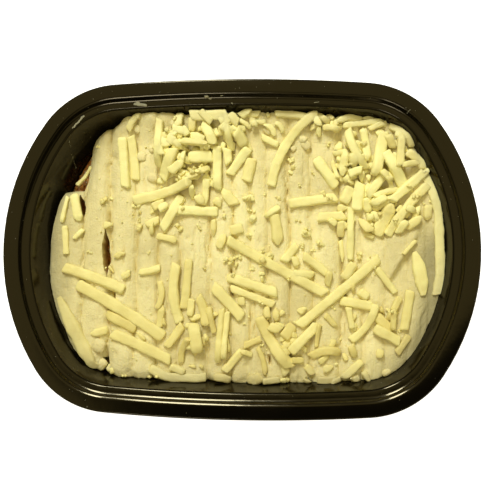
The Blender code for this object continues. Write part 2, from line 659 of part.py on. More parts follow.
def rest_on(pile, line, width):
    """The underside of a strip that lies on the pile and spans its hollows, a little stiff."""
    x0, y0 = line[0]
    x1, y1 = line[-1]
    length = math.hypot(x1 - x0, y1 - y0)
    side = (-(y1 - y0) / length * width * 0.3, (x1 - x0) / length * width * 0.3)
    z = []
    for x, y in line:
        touches = [pile.height(x + k * side[0], y + k * side[1]) for k in (-1, 0, 1)]
        z.append(0.5 * max(touches) + 0.5 * sum(touches) / 3)
    z = np.array(z)
    bend = SHRED_STIFFNESS * (length / (SHRED_STATIONS - 1)) ** 2 / 4
    for _ in range(60):
        z[1:-1] = np.maximum(z[1:-1], (z[:-2] + z[2:]) / 2 - bend)
    return z


def build_shred(pile, x0, y0, x1, y1, width, bow):
    """One strip of cheese: four sides, a few segments and blunt ends."""
    line = strip_line(x0, y0, x1, y1, bow)
    length = math.hypot(x1 - x0, y1 - y0)
    thickness = SHRED_THICKNESS * min(1.0, 0.62 + 0.1 * width)
    low = rest_on(pile, line, width) - SHRED_SINK
    low = np.minimum(low, HIGHEST_CHEESE - thickness)
    pile.lay(line, low + thickness, width)
    segments = max(1, min(5, round(length / SHRED_SEGMENT)))
    points = []
    for k in range(segments + 1):
        at = k / segments * (SHRED_STATIONS - 1)
        i = min(int(at), SHRED_STATIONS - 2)
        part = at - i
        x = line[i][0] * (1 - part) + line[i + 1][0] * part
        y = line[i][1] * (1 - part) + line[i + 1][1] * part
        z = float(low[i] * (1 - part) + low[i + 1] * part)
        dx, dy = line[i + 1][0] - line[i][0], line[i + 1][1] - line[i][1]
        step = math.hypot(dx, dy)
        taper = 0.84 if k in (0, segments) else 1.0
        for side, rise in ((-1, 0), (1, 0), (SHRED_TOP, 1), (-SHRED_TOP, 1)):
            px = x - dy / step * side * width / 2 * taper
            py = y + dx / step * side * width / 2 * taper
            pz = z + rise * thickness
            px, py = inside_wall(px, py, pz)
            points.append((px, py, pz))
    faces = [(3, 2, 1, 0)]
    for k in range(segments):
        a = 4 * k
        for side in range(4):
            b = (side + 1) % 4
            faces.append((a + side, a + b, a + b + 4, a + side + 4))
    last = 4 * segments
    faces.append((last, last + 1, last + 2, last + 3))
    return new_object("shred", points, faces, bpy.data.materials["mash"])


def from_food_middle(x, y):
    """A place in the tray of a place counted from the food's middle."""
    return x + CHEESE_SHIFT, y * NEAR_STRETCH if y < 0 else y


def build_topping():
    """The mash bed, opened where the mince shows, with the grated cheese fused on."""
    mash = build_mash_bed()
    boolean(mash, [gap_cutter(*gap) for gap in MASH_GAPS], "DIFFERENCE")
    pile = Pile()
    strips = []
    for x0, y0, x1, y1, width, bow in SHREDS:
        strips.append(build_shred(pile, *from_food_middle(x0, y0), *from_food_middle(x1, y1), width, bow))
    # The exact solver leaves open edges where several strips cross, so this union uses the other.
    boolean(mash, strips, "UNION", "MANIFOLD")
    tidy_solid(mash)
    return mash


def main():
    for leftover in list(bpy.data.objects):
        bpy.data.objects.remove(leftover)
    build_tray()
    build_mince()
    build_topping()


main()
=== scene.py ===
# A shepherd's pie in its black oblong tray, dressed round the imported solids.
# Sizes and places are written in millimetres, and every mesh is made in metres by MM.

import math

import bmesh
import bpy
import numpy as np
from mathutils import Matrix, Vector


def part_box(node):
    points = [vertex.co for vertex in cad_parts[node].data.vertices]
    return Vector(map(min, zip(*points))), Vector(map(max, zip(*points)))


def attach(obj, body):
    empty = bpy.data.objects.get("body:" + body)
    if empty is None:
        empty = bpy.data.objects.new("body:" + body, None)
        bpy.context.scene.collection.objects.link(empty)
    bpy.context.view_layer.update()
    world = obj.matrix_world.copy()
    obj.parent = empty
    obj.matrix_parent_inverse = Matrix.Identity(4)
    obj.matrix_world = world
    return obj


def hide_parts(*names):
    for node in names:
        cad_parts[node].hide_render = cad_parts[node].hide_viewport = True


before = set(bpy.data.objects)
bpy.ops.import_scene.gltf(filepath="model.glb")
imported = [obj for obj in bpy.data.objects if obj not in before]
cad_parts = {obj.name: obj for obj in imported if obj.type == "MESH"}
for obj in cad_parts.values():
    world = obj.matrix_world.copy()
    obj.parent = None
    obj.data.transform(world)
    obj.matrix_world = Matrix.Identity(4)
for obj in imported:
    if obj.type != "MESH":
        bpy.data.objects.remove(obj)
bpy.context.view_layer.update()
MM = 0.001

# Camera.
# It stands almost straight above the tray, a little nearer the front, with a short telephoto lens.
# Its place and turn were worked out from the tray's rim in the photograph.
camera = bpy.data.objects.new("camera", bpy.data.cameras.new("camera"))
bpy.context.scene.collection.objects.link(camera)
camera.data.lens = 45.0
camera.data.sensor_width = 36.0
camera.data.clip_start = 0.02
camera.location = (0.0186, -0.0253, 0.28369)
camera.rotation_euler = tuple(math.radians(turn) for turn in (5.47, 3.09, 0.67))
bpy.context.scene.camera = camera

# Tray.
# One thin sheet of glossy black plastic, drawn hot into a mould: bowed sides, big round corners,
# a flat flange to seal a film on, a stepped ledge and a plain tapering wall down to the foot.
TRAY_LENGTH, TRAY_WIDTH, TRAY_HEIGHT = ((high - low) / MM for low, high in zip(*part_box("tray")))
SHEET = 0.7
LONG_SIDE_RADIUS = 700.0
END_RADIUS = 89.0
CORNER_RADIUS = 37.0
FLANGE = 5.4
RIM_ROUND = (0.4, 0.25)
LEDGE_BEND = (0.7, 0.35)
LEDGE_DEPTH = 2.0
LEDGE_START = 7.6
LEDGE_END = 9.6
WALL_TOP_INSET = 10.3
WALL_TOP_Z = 35.4
WALL_SLOPE = 0.27
WALL_FOOT_Z = 4.5
FOOT_BEND = (1.1, 2.1)
FOOT_INSET = 3.6
FOOT_WIDTH = 9.0
PANEL_RISE = 0.8
PANEL_BEND = 1.0
BEND_RADIUS = 0.75
RIM_STEPS = (26, 28, 20)
PLASTIC_BLACK = (0.0022, 0.0018, 0.0009, 1.0)
PLASTIC_TINT = (1.0, 0.86, 0.56, 1.0)
DUST = (0.16, 0.15, 0.12, 1.0)


def corner_centre():
    """The centre of the corner arc that touches both the long side's arc and the end's arc."""
    side_y = TRAY_WIDTH / 2 - LONG_SIDE_RADIUS
    end_x = TRAY_LENGTH / 2 - END_RADIUS
    to_side = LONG_SIDE_RADIUS - CORNER_RADIUS
    to_end = END_RADIUS - CORNER_RADIUS
    between = math.hypot(end_x, side_y)
    along = (to_side**2 - to_end**2 + between**2) / (2 * between)
    off = math.sqrt(to_side**2 - along**2)
    ux, uy = end_x / between, -side_y / between
    return ux * along + uy * off, side_y + uy * along - ux * off


CORNER_X, CORNER_Y = corner_centre()
SIDE_Y = TRAY_WIDTH / 2 - LONG_SIDE_RADIUS
END_X = TRAY_LENGTH / 2 - END_RADIUS
END_ANGLE = math.atan2(CORNER_Y, CORNER_X - END_X)
SIDE_ANGLE = math.atan2(CORNER_Y - SIDE_Y, CORNER_X)


def outline(inset, corner_steps, side_steps, end_steps):
    """The tray's outline moved inwards, anticlockwise from the right end, as a list of (x, y)."""
    arcs = [
        (END_X, 0, END_RADIUS, -END_ANGLE, END_ANGLE, end_steps),
        (CORNER_X, CORNER_Y, CORNER_RADIUS, END_ANGLE, SIDE_ANGLE, corner_steps),
        (0, SIDE_Y, LONG_SIDE_RADIUS, SIDE_ANGLE, math.pi - SIDE_ANGLE, side_steps),
        (-CORNER_X, CORNER_Y, CORNER_RADIUS, math.pi - SIDE_ANGLE, math.pi - END_ANGLE, corner_steps),
    ]
    points = []
    for turn in (1, -1):
        for x, y, radius, start, end, steps in arcs:
            for angle in np.linspace(start, end, steps, endpoint=False):
                reach = radius - inset
                points.append((turn * (x + reach * math.cos(angle)), turn * (y + reach * math.sin(angle))))
    return points


def wall_inset(z):
    """How far inside the outline the wall's inner face is at a height."""
    return WALL_TOP_INSET + (WALL_TOP_Z - z) * WALL_SLOPE


def set_inputs(tree, node, inputs):
    """Sets a node's inputs to a value, or links them to a socket."""
    for name, value in inputs.items():
        if isinstance(value, bpy.types.NodeSocket):
            tree.links.new(value, node.inputs[name])
        else:
            node.inputs[name].default_value = value


def add_node(tree, kind, inputs=None, **options):
    """A new node with its options and inputs set."""
    node = tree.nodes.new(kind)
    for name, value in options.items():
        setattr(node, name, value)
    set_inputs(tree, node, inputs or {})
    return node


def add_step(tree, kind, inputs=None, **options):
    """The first output of a new node."""
    return add_node(tree, kind, inputs, **options).outputs[0]


def calculate(tree, operation, *values, kind="ShaderNodeMath"):
    """The result of one sum, on numbers or on vectors."""
    return add_step(tree, kind, dict(enumerate(values)), operation=operation)


def remap(tree, value, start, end, low=0.0, high=1.0, **options):
    """A value moved from one range onto another, and held at its ends."""
    limits = {"Value": value, "From Min": start, "From Max": end, "To Min": low, "To Max": high}
    return add_step(tree, "ShaderNodeMapRange", limits, **options)


def mixed(tree, share, first, second):
    """A colour between two others."""
    shades = {"Factor": share, 6: first, 7: second}
    return add_node(tree, "ShaderNodeMix", shades, data_type="RGBA").outputs[2]


def noise(tree, place, scale, detail, **more):
    """Soft random patches."""
    return add_step(tree, "ShaderNodeTexNoise", {"Vector": place, "Scale": scale, "Detail": detail, **more})


def cells(tree, place, scale):
    """How far each place is from the middle of its grain."""
    return add_step(tree, "ShaderNodeTexVoronoi", {"Vector": place, "Scale": scale, "Randomness": 1.0})


def bump(tree, height, strength, depth, **options):
    """The surface's direction once a height has roughened it."""
    relief = {"Height": height, "Strength": strength, "Distance": depth}
    return add_step(tree, "ShaderNodeBump", relief, **options)


def new_material(name):
    """A material with its node tree, its shader and the places that its patterns follow."""
    material = bpy.data.materials.new(name)
    material.use_nodes = True
    tree = material.node_tree
    place = add_node(tree, "ShaderNodeTexCoord").outputs["Object"]
    return material, tree, tree.nodes["Principled BSDF"], place


def new_tree(name, sockets):
    """An empty geometry tree with a material and the given inputs, as (name, type), and their sockets."""
    tree = bpy.data.node_groups.new(name, "GeometryNodeTree")
    for label, kind in [("Geometry", "Geometry")] + sockets + [("Material", "Material")]:
        tree.interface.new_socket(label, in_out="INPUT", socket_type="NodeSocket" + kind)
    tree.interface.new_socket("Geometry", in_out="OUTPUT", socket_type="NodeSocketGeometry")
    return tree, tree.nodes.new("NodeGroupInput").outputs


def close_tree(tree, given, geometry):
    """Ends a tree: what it made becomes real mesh and gets the material."""
    real = add_step(tree, "GeometryNodeRealizeInstances", {"Geometry": geometry})
    dress = {"Geometry": real, "Material": given["Material"]}
    add_node(tree, "NodeGroupOutput", {"Geometry": add_step(tree, "GeometryNodeSetMaterial", dress)})
    return tree


def run_tree(target, tree, values):
    """Runs the tree on the object with its named inputs set, and keeps the result as plain mesh."""
    step = target.modifiers.new("tree", "NODES")
    step.node_group = tree
    for socket in tree.interface.items_tree:
        if socket.in_out == "INPUT" and socket.name in values:
            step[socket.identifier] = values[socket.name]
    keep_result(target)


def keep_result(target):
    """Turns the object's modifiers into plain mesh."""
    graph = bpy.context.evaluated_depsgraph_get()
    made = bpy.data.meshes.new_from_object(target.evaluated_get(graph))
    target.modifiers.clear()
    target.data = made


def new_object(name, points, edges=(), faces=()):
    """An object made of points in millimetres."""
    mesh = bpy.data.meshes.new(name)
    mesh.from_pydata([(x * MM, y * MM, z * MM) for x, y, z in points], edges, faces)
    made = bpy.data.objects.new(name, mesh)
    bpy.context.scene.collection.objects.link(made)
    return made


def swept_tray_tree():
    """Sweeps the sheet's profile, with its bends rounded, along the tray's outline."""
    tree, given = new_tree("swept tray", [("Profile", "Object"), ("Bend Radius", "Float")])
    profile = add_node(tree, "GeometryNodeObjectInfo", {"Object": given["Profile"]}).outputs["Geometry"]
    line = add_step(tree, "GeometryNodeMeshToCurve", {"Mesh": profile})
    rounding = {"Curve": line, "Count": 3, "Radius": given["Bend Radius"], "Limit Radius": True}
    bends = add_step(tree, "GeometryNodeFilletCurve", rounding, mode="POLY")
    path = add_step(tree, "GeometryNodeMeshToCurve", {"Mesh": given["Geometry"]})
    upright = add_step(tree, "GeometryNodeSetCurveNormal", {"Curve": path}, mode="Z_UP")
    sweep = add_step(tree, "GeometryNodeCurveToMesh", {"Curve": upright, "Profile Curve": bends})
    return close_tree(tree, given, sweep)


def plastic_material():
    """Black polypropylene: glossy, faintly brown, with an uneven skin, wiped smears and specks of dust."""
    material, tree, shader, place = new_material("black_tray_plastic")
    smears = noise(tree, place, 38.0, 5.0, Distortion=0.8)
    spots = remap(tree, cells(tree, place, 210.0), 0.03, 0.075, 1.0, 0.0)
    dusty = remap(tree, noise(tree, place, 60.0, 2.0), 0.56, 0.62, 0.0, 0.75)
    dust = calculate(tree, "MULTIPLY", spots, dusty)
    set_inputs(tree, shader, {
        "Base Color": mixed(tree, dust, PLASTIC_BLACK, DUST),
        "Roughness": remap(tree, smears, 0.35, 0.75, 0.08, 0.17),
        "Normal": bump(tree, noise(tree, place, 260.0, 3.0), 0.12, 0.0002),
        "Specular IOR Level": 0.4,
        "Specular Tint": PLASTIC_TINT,
    })
    return material


def tray_profile():
    """The sheet's inner face from the flange's edge down to the raised panel, as (inset, z)."""
    top = TRAY_HEIGHT
    foot = wall_inset(WALL_FOOT_Z)
    return [
        (0.0, top - RIM_ROUND[1]),
        (RIM_ROUND[0], top),
        (FLANGE, top),
        (FLANGE + LEDGE_BEND[0], top - LEDGE_BEND[1]),
        (LEDGE_START - LEDGE_BEND[0], top - LEDGE_DEPTH + LEDGE_BEND[1]),
        (LEDGE_START, top - LEDGE_DEPTH),
        (LEDGE_END, top - LEDGE_DEPTH),
        (WALL_TOP_INSET, WALL_TOP_Z),
        (foot, WALL_FOOT_Z),
        (foot + FOOT_BEND[0], FOOT_BEND[1]),
        (foot + FOOT_INSET, SHEET),
        (foot + FOOT_INSET + FOOT_WIDTH, SHEET),
        (foot + FOOT_INSET + FOOT_WIDTH + PANEL_BEND, SHEET + PANEL_RISE),
    ]


def build_tray():
    """The inner face swept round the outline, closed by the panel and thickened outwards to the sheet."""
    rim = outline(0.0, *RIM_STEPS)
    count = len(rim)
    tray = new_object("black_tray", [(x, y, 0) for x, y in rim], [(k, (k + 1) % count) for k in range(count)])
    profile = tray_profile()
    # Along an anticlockwise path the sweep's own axes point outwards and down, so both are turned over.
    turned = [(-inset, -z, 0) for inset, z in profile]
    helper = new_object("tray profile", turned, [(k, k + 1) for k in range(len(profile) - 1)])
    values = {"Profile": helper, "Bend Radius": BEND_RADIUS * MM, "Material": plastic_material()}
    run_tree(tray, swept_tray_tree(), values)
    bpy.data.objects.remove(helper)
    shape = bmesh.new()
    shape.from_mesh(tray.data)
    edges = [edge for edge in shape.edges if edge.is_boundary and edge.verts[0].co.z < TRAY_HEIGHT / 2 * MM]
    bmesh.ops.holes_fill(shape, edges=edges, sides=len(edges))
    bmesh.ops.recalc_face_normals(shape, faces=shape.faces)
    panel = max(shape.faces, key=lambda face: len(face.verts))
    if panel.normal.z < 0:
        bmesh.ops.reverse_faces(shape, faces=shape.faces)
    shape.to_mesh(tray.data)
    shape.free()
    wall = tray.modifiers.new("sheet", "SOLIDIFY")
    wall.thickness = SHEET * MM
    wall.offset = -1.0
    wall.use_even_offset = True
    keep_result(tray)
    for vertex in tray.data.vertices:
        vertex.co.z = max(vertex.co.z, 0.0)
    tray.data.shade_smooth()
    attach(tray, "root")
    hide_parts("tray")


build_tray()

# Mince filling.
# Fine minced meat in thick brown gravy, poured level. Only a strip of it shows, in the left corner
# that the mash leaves bare and in two splits between ribs, where its grains glisten with fat.
GAP = 0.4
MINCE_BOTTOM = SHEET + PANEL_RISE + 0.3
MINCE_TOP = 17.0
MINCE_FOOT = 3.0
MINCE_EDGE = (0.7, 0.8)
MINCE_STEPS = (18, 20, 14)
MINCE_RINGS = 16
MINCE_RING = 1.1
MINCE_SETTLE = 0.9
MINCE_GRAINS = 900
GRAIN_ROOM = 1.2
GRAIN_LIFT = (-0.2, 0.35)
NOISE_TABLE = 128
MEAT_RED = (0.60, 0.235, 0.04, 1.0)
MEAT_PALE = (0.92, 0.50, 0.16, 1.0)
GRAVY = (0.30, 0.105, 0.016, 1.0)
FAT = (0.72, 0.60, 0.42, 1.0)

# Where loose grains are strewn, as (x0, x1, y0, y1): everywhere, in the bare corner and in the long split.
STREWN = (-76, -52, -16, 46)
BARE_CORNER = (-76, -60, 9, 46)
LONG_SPLIT = (-58, -53, -16, 12)


def soft_noise(x, y, cell_x, cell_y, seed):
    """Smooth random relief between -1 and 1 whose lumps are about one cell across."""
    u = np.asarray(x, float) / cell_x
    v = np.asarray(y, float) / cell_y
    i, j = np.floor(u).astype(int), np.floor(v).astype(int)
    fu, fv = u - i, v - j
    fu, fv = fu * fu * (3 - 2 * fu), fv * fv * (3 - 2 * fv)
    table = np.random.default_rng(seed).uniform(-1, 1, (NOISE_TABLE, NOISE_TABLE))
    i, j, i1, j1 = i % NOISE_TABLE, j % NOISE_TABLE, (i + 1) % NOISE_TABLE, (j + 1) % NOISE_TABLE
    near = table[i, j] * (1 - fu) + table[i1, j] * fu
    far = table[i, j1] * (1 - fu) + table[i1, j1] * fu
    return near * (1 - fv) + far * fv


def rim_distance(x, y):
    """How far places lie inside the tray's outline, and the way out from them."""
    x, y = np.asarray(x, float), np.asarray(y, float)
    ax, ay = np.abs(x), np.abs(y)
    at_end = (ax > END_X) & (np.arctan2(ay, ax - END_X) < END_ANGLE)
    at_side = ~at_end & (np.arctan2(ay - SIDE_Y, ax) > SIDE_ANGLE)
    cx = np.where(at_end, END_X, np.where(at_side, 0.0, CORNER_X))
    cy = np.where(at_end, 0.0, np.where(at_side, SIDE_Y, CORNER_Y))
    radius = np.where(at_end, END_RADIUS, np.where(at_side, LONG_SIDE_RADIUS, CORNER_RADIUS))
    dx, dy = ax - cx, ay - cy
    reach = np.maximum(np.hypot(dx, dy), 1e-9)
    return radius - reach, np.copysign(dx / reach, x), np.copysign(dy / reach, y)


def roughened(tree, place, scale, detail, depth):
    """A shift that wears a surface unevenly, in all directions alike."""
    random = add_node(tree, "ShaderNodeTexNoise", {"Vector": place, "Scale": scale, "Detail": detail})
    halves = (0.5, 0.5, 0.5)
    centred = calculate(tree, "SUBTRACT", random.outputs["Color"], halves, kind="ShaderNodeVectorMath")
    return add_step(tree, "ShaderNodeVectorMath", {0: centred, "Scale": depth}, operation="SCALE")


def read_field(tree, label, kind):
    """What each point of the piece holds under a label."""
    return add_step(tree, "GeometryNodeInputNamedAttribute", {"Name": label}, data_type=kind)


def scattered_bits_tree():
    """Puts one rough bit on each given point, turned and sized by the point's own attributes."""
    tree, given = new_tree("scattered bits", [("Boxy", "Float"), ("Unevenness", "Float"), ("Grain", "Float")])
    lattice = {"Size": (2.0, 2.0, 2.0), "Vertices X": 4, "Vertices Y": 4, "Vertices Z": 4}
    cube = add_step(tree, "GeometryNodeMeshCube", lattice)
    place = add_step(tree, "GeometryNodeInputPosition")
    ball = calculate(tree, "NORMALIZE", place, kind="ShaderNodeVectorMath")
    between = {"Factor": given["Boxy"], 4: ball, 5: place}
    blend = add_node(tree, "ShaderNodeMix", between, data_type="VECTOR").outputs[1]
    bit = add_step(tree, "GeometryNodeSetPosition", {"Geometry": cube, "Position": blend})
    turn = add_step(tree, "FunctionNodeEulerToRotation", {"Euler": read_field(tree, "turn", "FLOAT_VECTOR")})
    size = read_field(tree, "size", "FLOAT_VECTOR")
    strewn = {"Points": given["Geometry"], "Instance": bit, "Rotation": turn, "Scale": size}
    put = add_step(tree, "GeometryNodeInstanceOnPoints", strewn)
    real = add_step(tree, "GeometryNodeRealizeInstances", {"Geometry": put})
    spot = add_step(tree, "GeometryNodeInputPosition")
    wear = roughened(tree, spot, given["Grain"], 2.0, given["Unevenness"])
    worn = add_step(tree, "GeometryNodeSetPosition", {"Geometry": real, "Offset": wear})
    return close_tree(tree, given, add_step(tree, "GeometryNodeSetShadeSmooth", {"Geometry": worn}))


BITS_TREE = scattered_bits_tree()


def add_field(target, label, values, kind="FLOAT"):
    """Gives each point of the object a value, which trees and materials read by its label."""
    field = target.data.attributes.new(label, kind, "POINT")
    field.data.foreach_set("value" if kind == "FLOAT" else "vector", np.ravel(values).astype(float))


def scatter(name, bits, material, boxy, unevenness, grain):
    """One piece of many bits, each given as (x, y, z, turn, half sizes, tone)."""
    piece = new_object(name, [bit[:3] for bit in bits])
    add_field(piece, "turn", [bit[3] for bit in bits], "FLOAT_VECTOR")
    add_field(piece, "size", np.array([bit[4] for bit in bits]) * MM, "FLOAT_VECTOR")
    add_field(piece, "tone", [bit[5] for bit in bits])
    values = {"Boxy": boxy, "Unevenness": unevenness * MM, "Grain": grain, "Material": material}
    run_tree(piece, BITS_TREE, values)
    return piece


def mince_material():
    """Cooked mince in gravy: red-brown grains, darker gravy between them and a wet, fatty gloss."""
    material, tree, shader, place = new_material("mince_and_gravy")
    grains = cells(tree, place, 620.0)
    patches = noise(tree, place, 180.0, 4.0)
    meat = mixed(tree, remap(tree, patches, 0.35, 0.7), MEAT_RED, MEAT_PALE)
    sauced = mixed(tree, remap(tree, grains, 0.25, 0.75, 0.0, 0.7), meat, GRAVY)
    fatty = remap(tree, noise(tree, place, 1100.0, 1.0), 0.66, 0.70)
    set_inputs(tree, shader, {
        "Base Color": mixed(tree, fatty, sauced, FAT),
        "Roughness": remap(tree, patches, 0.4, 0.6, 0.16, 0.42),
        "Normal": bump(tree, grains, 0.7, 0.0006, invert=True),
        "Subsurface Weight": 0.3,
        "Subsurface Radius": (1.0, 0.3, 0.15),
        "Subsurface Scale": 0.001,
        "Coat Weight": 0.6,
        "Coat Roughness": 0.08,
    })
    return material


def mince_slab():
    """The slab of mince: a tapering foot, an eased edge and a lumpy top of rings."""
    top_inset = wall_inset(MINCE_TOP) + GAP
    rings = [
        (MINCE_BOTTOM, wall_inset(MINCE_BOTTOM) + GAP + MINCE_FOOT),
        (WALL_FOOT_Z, wall_inset(WALL_FOOT_Z) + GAP),
        (MINCE_TOP - MINCE_EDGE[1], top_inset),
        (MINCE_TOP, top_inset + MINCE_EDGE[0]),
    ]
    points = [(x, y, z) for z, inset in rings for x, y in outline(inset, *MINCE_STEPS)]
    count = len(points) // len(rings)
    for ring in range(1, MINCE_RINGS + 1):
        for x, y in outline(top_inset + MINCE_EDGE[0] + ring * MINCE_RING, *MINCE_STEPS):
            lump = 0.5 * soft_noise(x, y, 2.6, 2.6, 31) + 0.5 * soft_noise(x, y, 1.1, 1.1, 32)
            points.append((x, y, MINCE_TOP - MINCE_SETTLE * (0.5 - 0.5 * lump)))
    total = len(rings) + MINCE_RINGS
    faces = [tuple(range(count - 1, -1, -1))]
    for start in range(0, (total - 1) * count, count):
        for k in range(count):
            a, b = start + k, start + (k + 1) % count
            faces.append((a, b, b + count, a + count))
    faces.append(tuple(range((total - 1) * count, total * count)))
    slab = new_object("mince slab", points, faces=faces)
    slab.data.shade_smooth()
    return slab


def within(x, y, area):
    return area[0] < x < area[1] and area[2] < y < area[3]


def mince_grains():
    """Loose grains on the mince, where it can be seen."""
    draw = np.random.default_rng(41)
    bits = []
    for _ in range(MINCE_GRAINS):
        x, y = draw.uniform(*STREWN[:2]), draw.uniform(*STREWN[2:])
        bare = within(x, y, BARE_CORNER) or within(x, y, LONG_SPLIT)
        if not bare or rim_distance(x, y)[0] < wall_inset(MINCE_TOP) + GRAIN_ROOM:
            continue
        turn = draw.uniform(0, math.pi, 3)
        half = draw.uniform(0.35, 1.0) * np.array([1.0, draw.uniform(0.6, 1.0), draw.uniform(0.5, 0.8)])
        bits.append((x, y, MINCE_TOP - 0.25 + draw.uniform(*GRAIN_LIFT), turn, half, draw.uniform(0, 1)))
    return bits


def build_mince():
    """The slab and its loose grains as one piece."""
    material = mince_material()
    slab = mince_slab()
    mince = scatter("mince_filling_with_gravy", mince_grains(), material, 0.25, 0.7, 900.0)
    shape = bmesh.new()
    shape.from_mesh(mince.data)
    shape.from_mesh(slab.data)
    shape.to_mesh(mince.data)
    shape.free()
    bpy.data.objects.remove(slab)
    mince.data.materials.clear()
    mince.data.materials.append(material)
    mince.data.polygons.foreach_set("material_index", [0] * len(mince.data.polygons))
    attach(mince, "root")
    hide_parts("mince_filling")


build_mince()

# Mashed potato.
# Boiled potato mashed with butter, laid over the filling in thick ribs that run across the tray.
# Its skin is slightly dry and streaked along the ribs. Painted shade makes it darker and more golden down in
# the grooves and creases and greyer by its edges and ends, gravy stain with painted shade makes it browner
# down the splits, and a painted pool of light makes it paler in the middle.
MASH_BOTTOM = MINCE_TOP + 0.35
MASH_LEAST = 1.0
MASH_CROWN = 28.3
MASH_TILT = 1.6
LEFT_FALL = 3.3
LEFT_FALL_START = -42.0
NOTCH_FALL = 4.5
NOTCH_MIDDLE = (-68.0, 42.0)
NOTCH_REACH = (9.0, 15.0)
EDGE_ROUND = 5.0
EDGE_DROP = 1.7
NOTCH_DROP = 4.5
FAR_SWELL = 1.7
FAR_SWELL_START = 40.0
RIGHT_SWELL = 1.4
RIGHT_SWELL_START = 56.0
SWELL_WIDTH = 16.0
SHARP_GROOVE = 2.6
RIB_DRIFT = 0.9
RIB_WAVE = (0.045, 2.6)
RIB_RAGGED = (0.45, 6.0, 3.4)
STRAIGHT_LEFT = (-66.0, 12.0)
HALF_WIDTH = 56.0
MASH_GAP = 0.15
MASH_CELL = 0.62
SKIRT_RINGS = 6
SHARP_ANGLE = 62.0

# The grooves between the ribs, as (place along X, depth).
GROOVES = [
    (-73.1, 0.8), (-66.1, 2.2), (-54.7, 3.6), (-43.4, 2.2), (-34.1, 1.7), (-25.1, 1.5), (-12.4, 2.2),
    (-2.7, 2.0), (4.3, 1.4), (11.4, 1.5), (20.4, 2.4), (29.4, 1.8), (41.4, 2.6), (49.9, 1.5),
    (58.9, 1.2), (67.9, 0.9), (75.9, 0.7),
]

# Where ribs bulge, as (x, y, reach along X, reach along Y, rise).
BULGES = [(-35.5, 55.5, 8.5, 6.0, 2.2), (-45.6, -46.0, 8.0, 8.0, 1.5), (53.4, -42.0, 7.0, 7.0, 1.3)]

# The far and near edges of the mash, as (x, y).
FAR_EDGE = [
    (-81.3, -2), (-80.6, 4), (-79.2, 12), (-77.2, 20), (-75, 24), (-71, 24.5), (-67, 24.5), (-65.6, 30),
    (-64.9, 43), (-62.7, 47), (-57.5, 50.6), (-51.1, 52.6), (-48.6, 55.6), (-43.1, 57.4), (-35, 57.6),
    (-29, 56.8), (-26, 55.4), (-17, 57), (1, 57.6), (13, 57.6), (30, 57), (36, 54.4), (43, 54.4),
    (57, 54), (63, 51), (68, 46), (73, 41), (78, 33), (81, 25), (82.9, 12),
]
NEAR_EDGE = [
    (-81.3, -14), (-79.6, -22), (-76.4, -31), (-71.9, -39.9), (-66.8, -46.2), (-60.8, -50.4),
    (-57.6, -51.4), (-56.5, -46), (-54, -45.5), (-52.8, -51.4), (-49.2, -54.6), (-43.2, -55.8),
    (-35.1, -53.8), (-30.1, -55.6), (-23.1, -56.4), (-11.6, -54.4), (-3.1, -56.4), (6, -56.8),
    (23, -56.4), (41, -56), (44.4, -54.4), (51, -55.4), (59, -54.6), (67.2, -50), (72.8, -44.2),
    (77.3, -35.8), (81, -26.5), (82.9, -15),
]

# Splits that show the mince, as (x0, y0, x1, y1, width), and how their sides lean and tear.
MASH_GAPS = [
    (-56.2, 8.0, -55.2, -13.0, 2.2), (-67.8, 22.5, -66.2, 12.4, 2.4),
]
GAP_STEPS = 26
GAP_POINT = (3.2, 0.03)
GAP_FOOT_SPREAD = 1.2
GAP_MOUTH_SPREAD = 1.3
GAP_LEAN = 0.6
GAP_TEAR = 0.22

# Narrow creases torn into the crowns, as (x0, y0, x1, y1, depth), and what they wander by.
CREASES = [
    (-12.2, -5, -12.5, 15, 1.5), (18.4, 32, 21.2, 2, 1.6), (41.8, 0, 41.9, 15, 1.2),
    (43.3, -25, 43.5, -40, 1.2), (-29.6, -16, -30.0, -35, 1.1), (6.9, -20, 7.2, -40, 1.3),
    (4.4, 28, 4.9, 12, 1.0), (-43.0, -20, -42.8, 15, 0.8), (-34.0, -25, -33.6, 5, 0.7),
    (-25.2, -30, -24.6, 10, 0.7), (51.5, -20, 51.0, -46, 0.7), (12.2, 6, 11.6, -14, 0.8),
    (-60.8, -6, -60.4, -24, 0.6), (-48.6, 4, -48.2, -10, 0.7), (-18.2, 12, -18.6, -12, 0.6),
    (33.2, -2, 33.6, 9, 0.8), (26.0, 24, 27.0, 36, 0.8), (48.6, 2, 49.4, -14, 0.7),
    (-39.4, 18, -39.8, 34, 0.8), (75.4, -24, 72.6, -37, 0.6), (41.6, 4, 44.6, -38, 1.7),
    (-13.6, 6, -13.2, -10, 1.3), (5.6, -22, 5.2, -38, 1.2), (-3.2, -16.5, -3.0, -21.5, 4.0),
    (-4.6, -33, -4.4, -43, 3.4), (12.6, -43.5, 12.8, -48, 4.0), (-3.0, -7.5, -2.8, -13, 2.4),
    (-52.6, -18, -52.4, -22, 4.0),
]
CREASE_WIDTH = 0.5
CREASE_WANDER = [(0.6, 9.0, 4.0, 56), (0.25, 3.0, 1.6, 57)]

# Small pits, by their number and the ranges of their places along Y, radii, depths and lengths.
PITS = 190
PIT_ROWS = (-54, 56)
PIT_RADIUS = (0.35, 0.8)
PIT_DEPTH = (0.3, 0.8)
PIT_STRETCH = (1.0, 2.6)

# Fine relief, as (height, cell along X, cell along Y, seed): streaks, lumps and grit.
RELIEF = [
    (0.08, 0.9, 16, 51), (0.04, 0.65, 6, 52), (0.30, 5, 9, 53), (0.14, 2.1, 2.8, 54), (0.09, 0.9, 1.1, 58),
]

# The fold that laps over towards the right end, with the crease under its edge.
FOLD_START = (70.5, 2.0)
FOLD_END = (60.5, -14.5)
FOLD_RISE = 1.8
FOLD_REACH = 17.0
FOLD_SPAN = (0.45, 0.62)
FOLD_DIP = (1.08, 4.0)
FOLD_SOFT = 2.6

# Painted crease shade, a darker golden colour: how much in a groove, in a crease, and for each millimetre
# that it is sunk.
CREASE_SHADE = (0.5, 0.2, 1 / 7.0)
CREASE_SHADE_MOST = 0.6
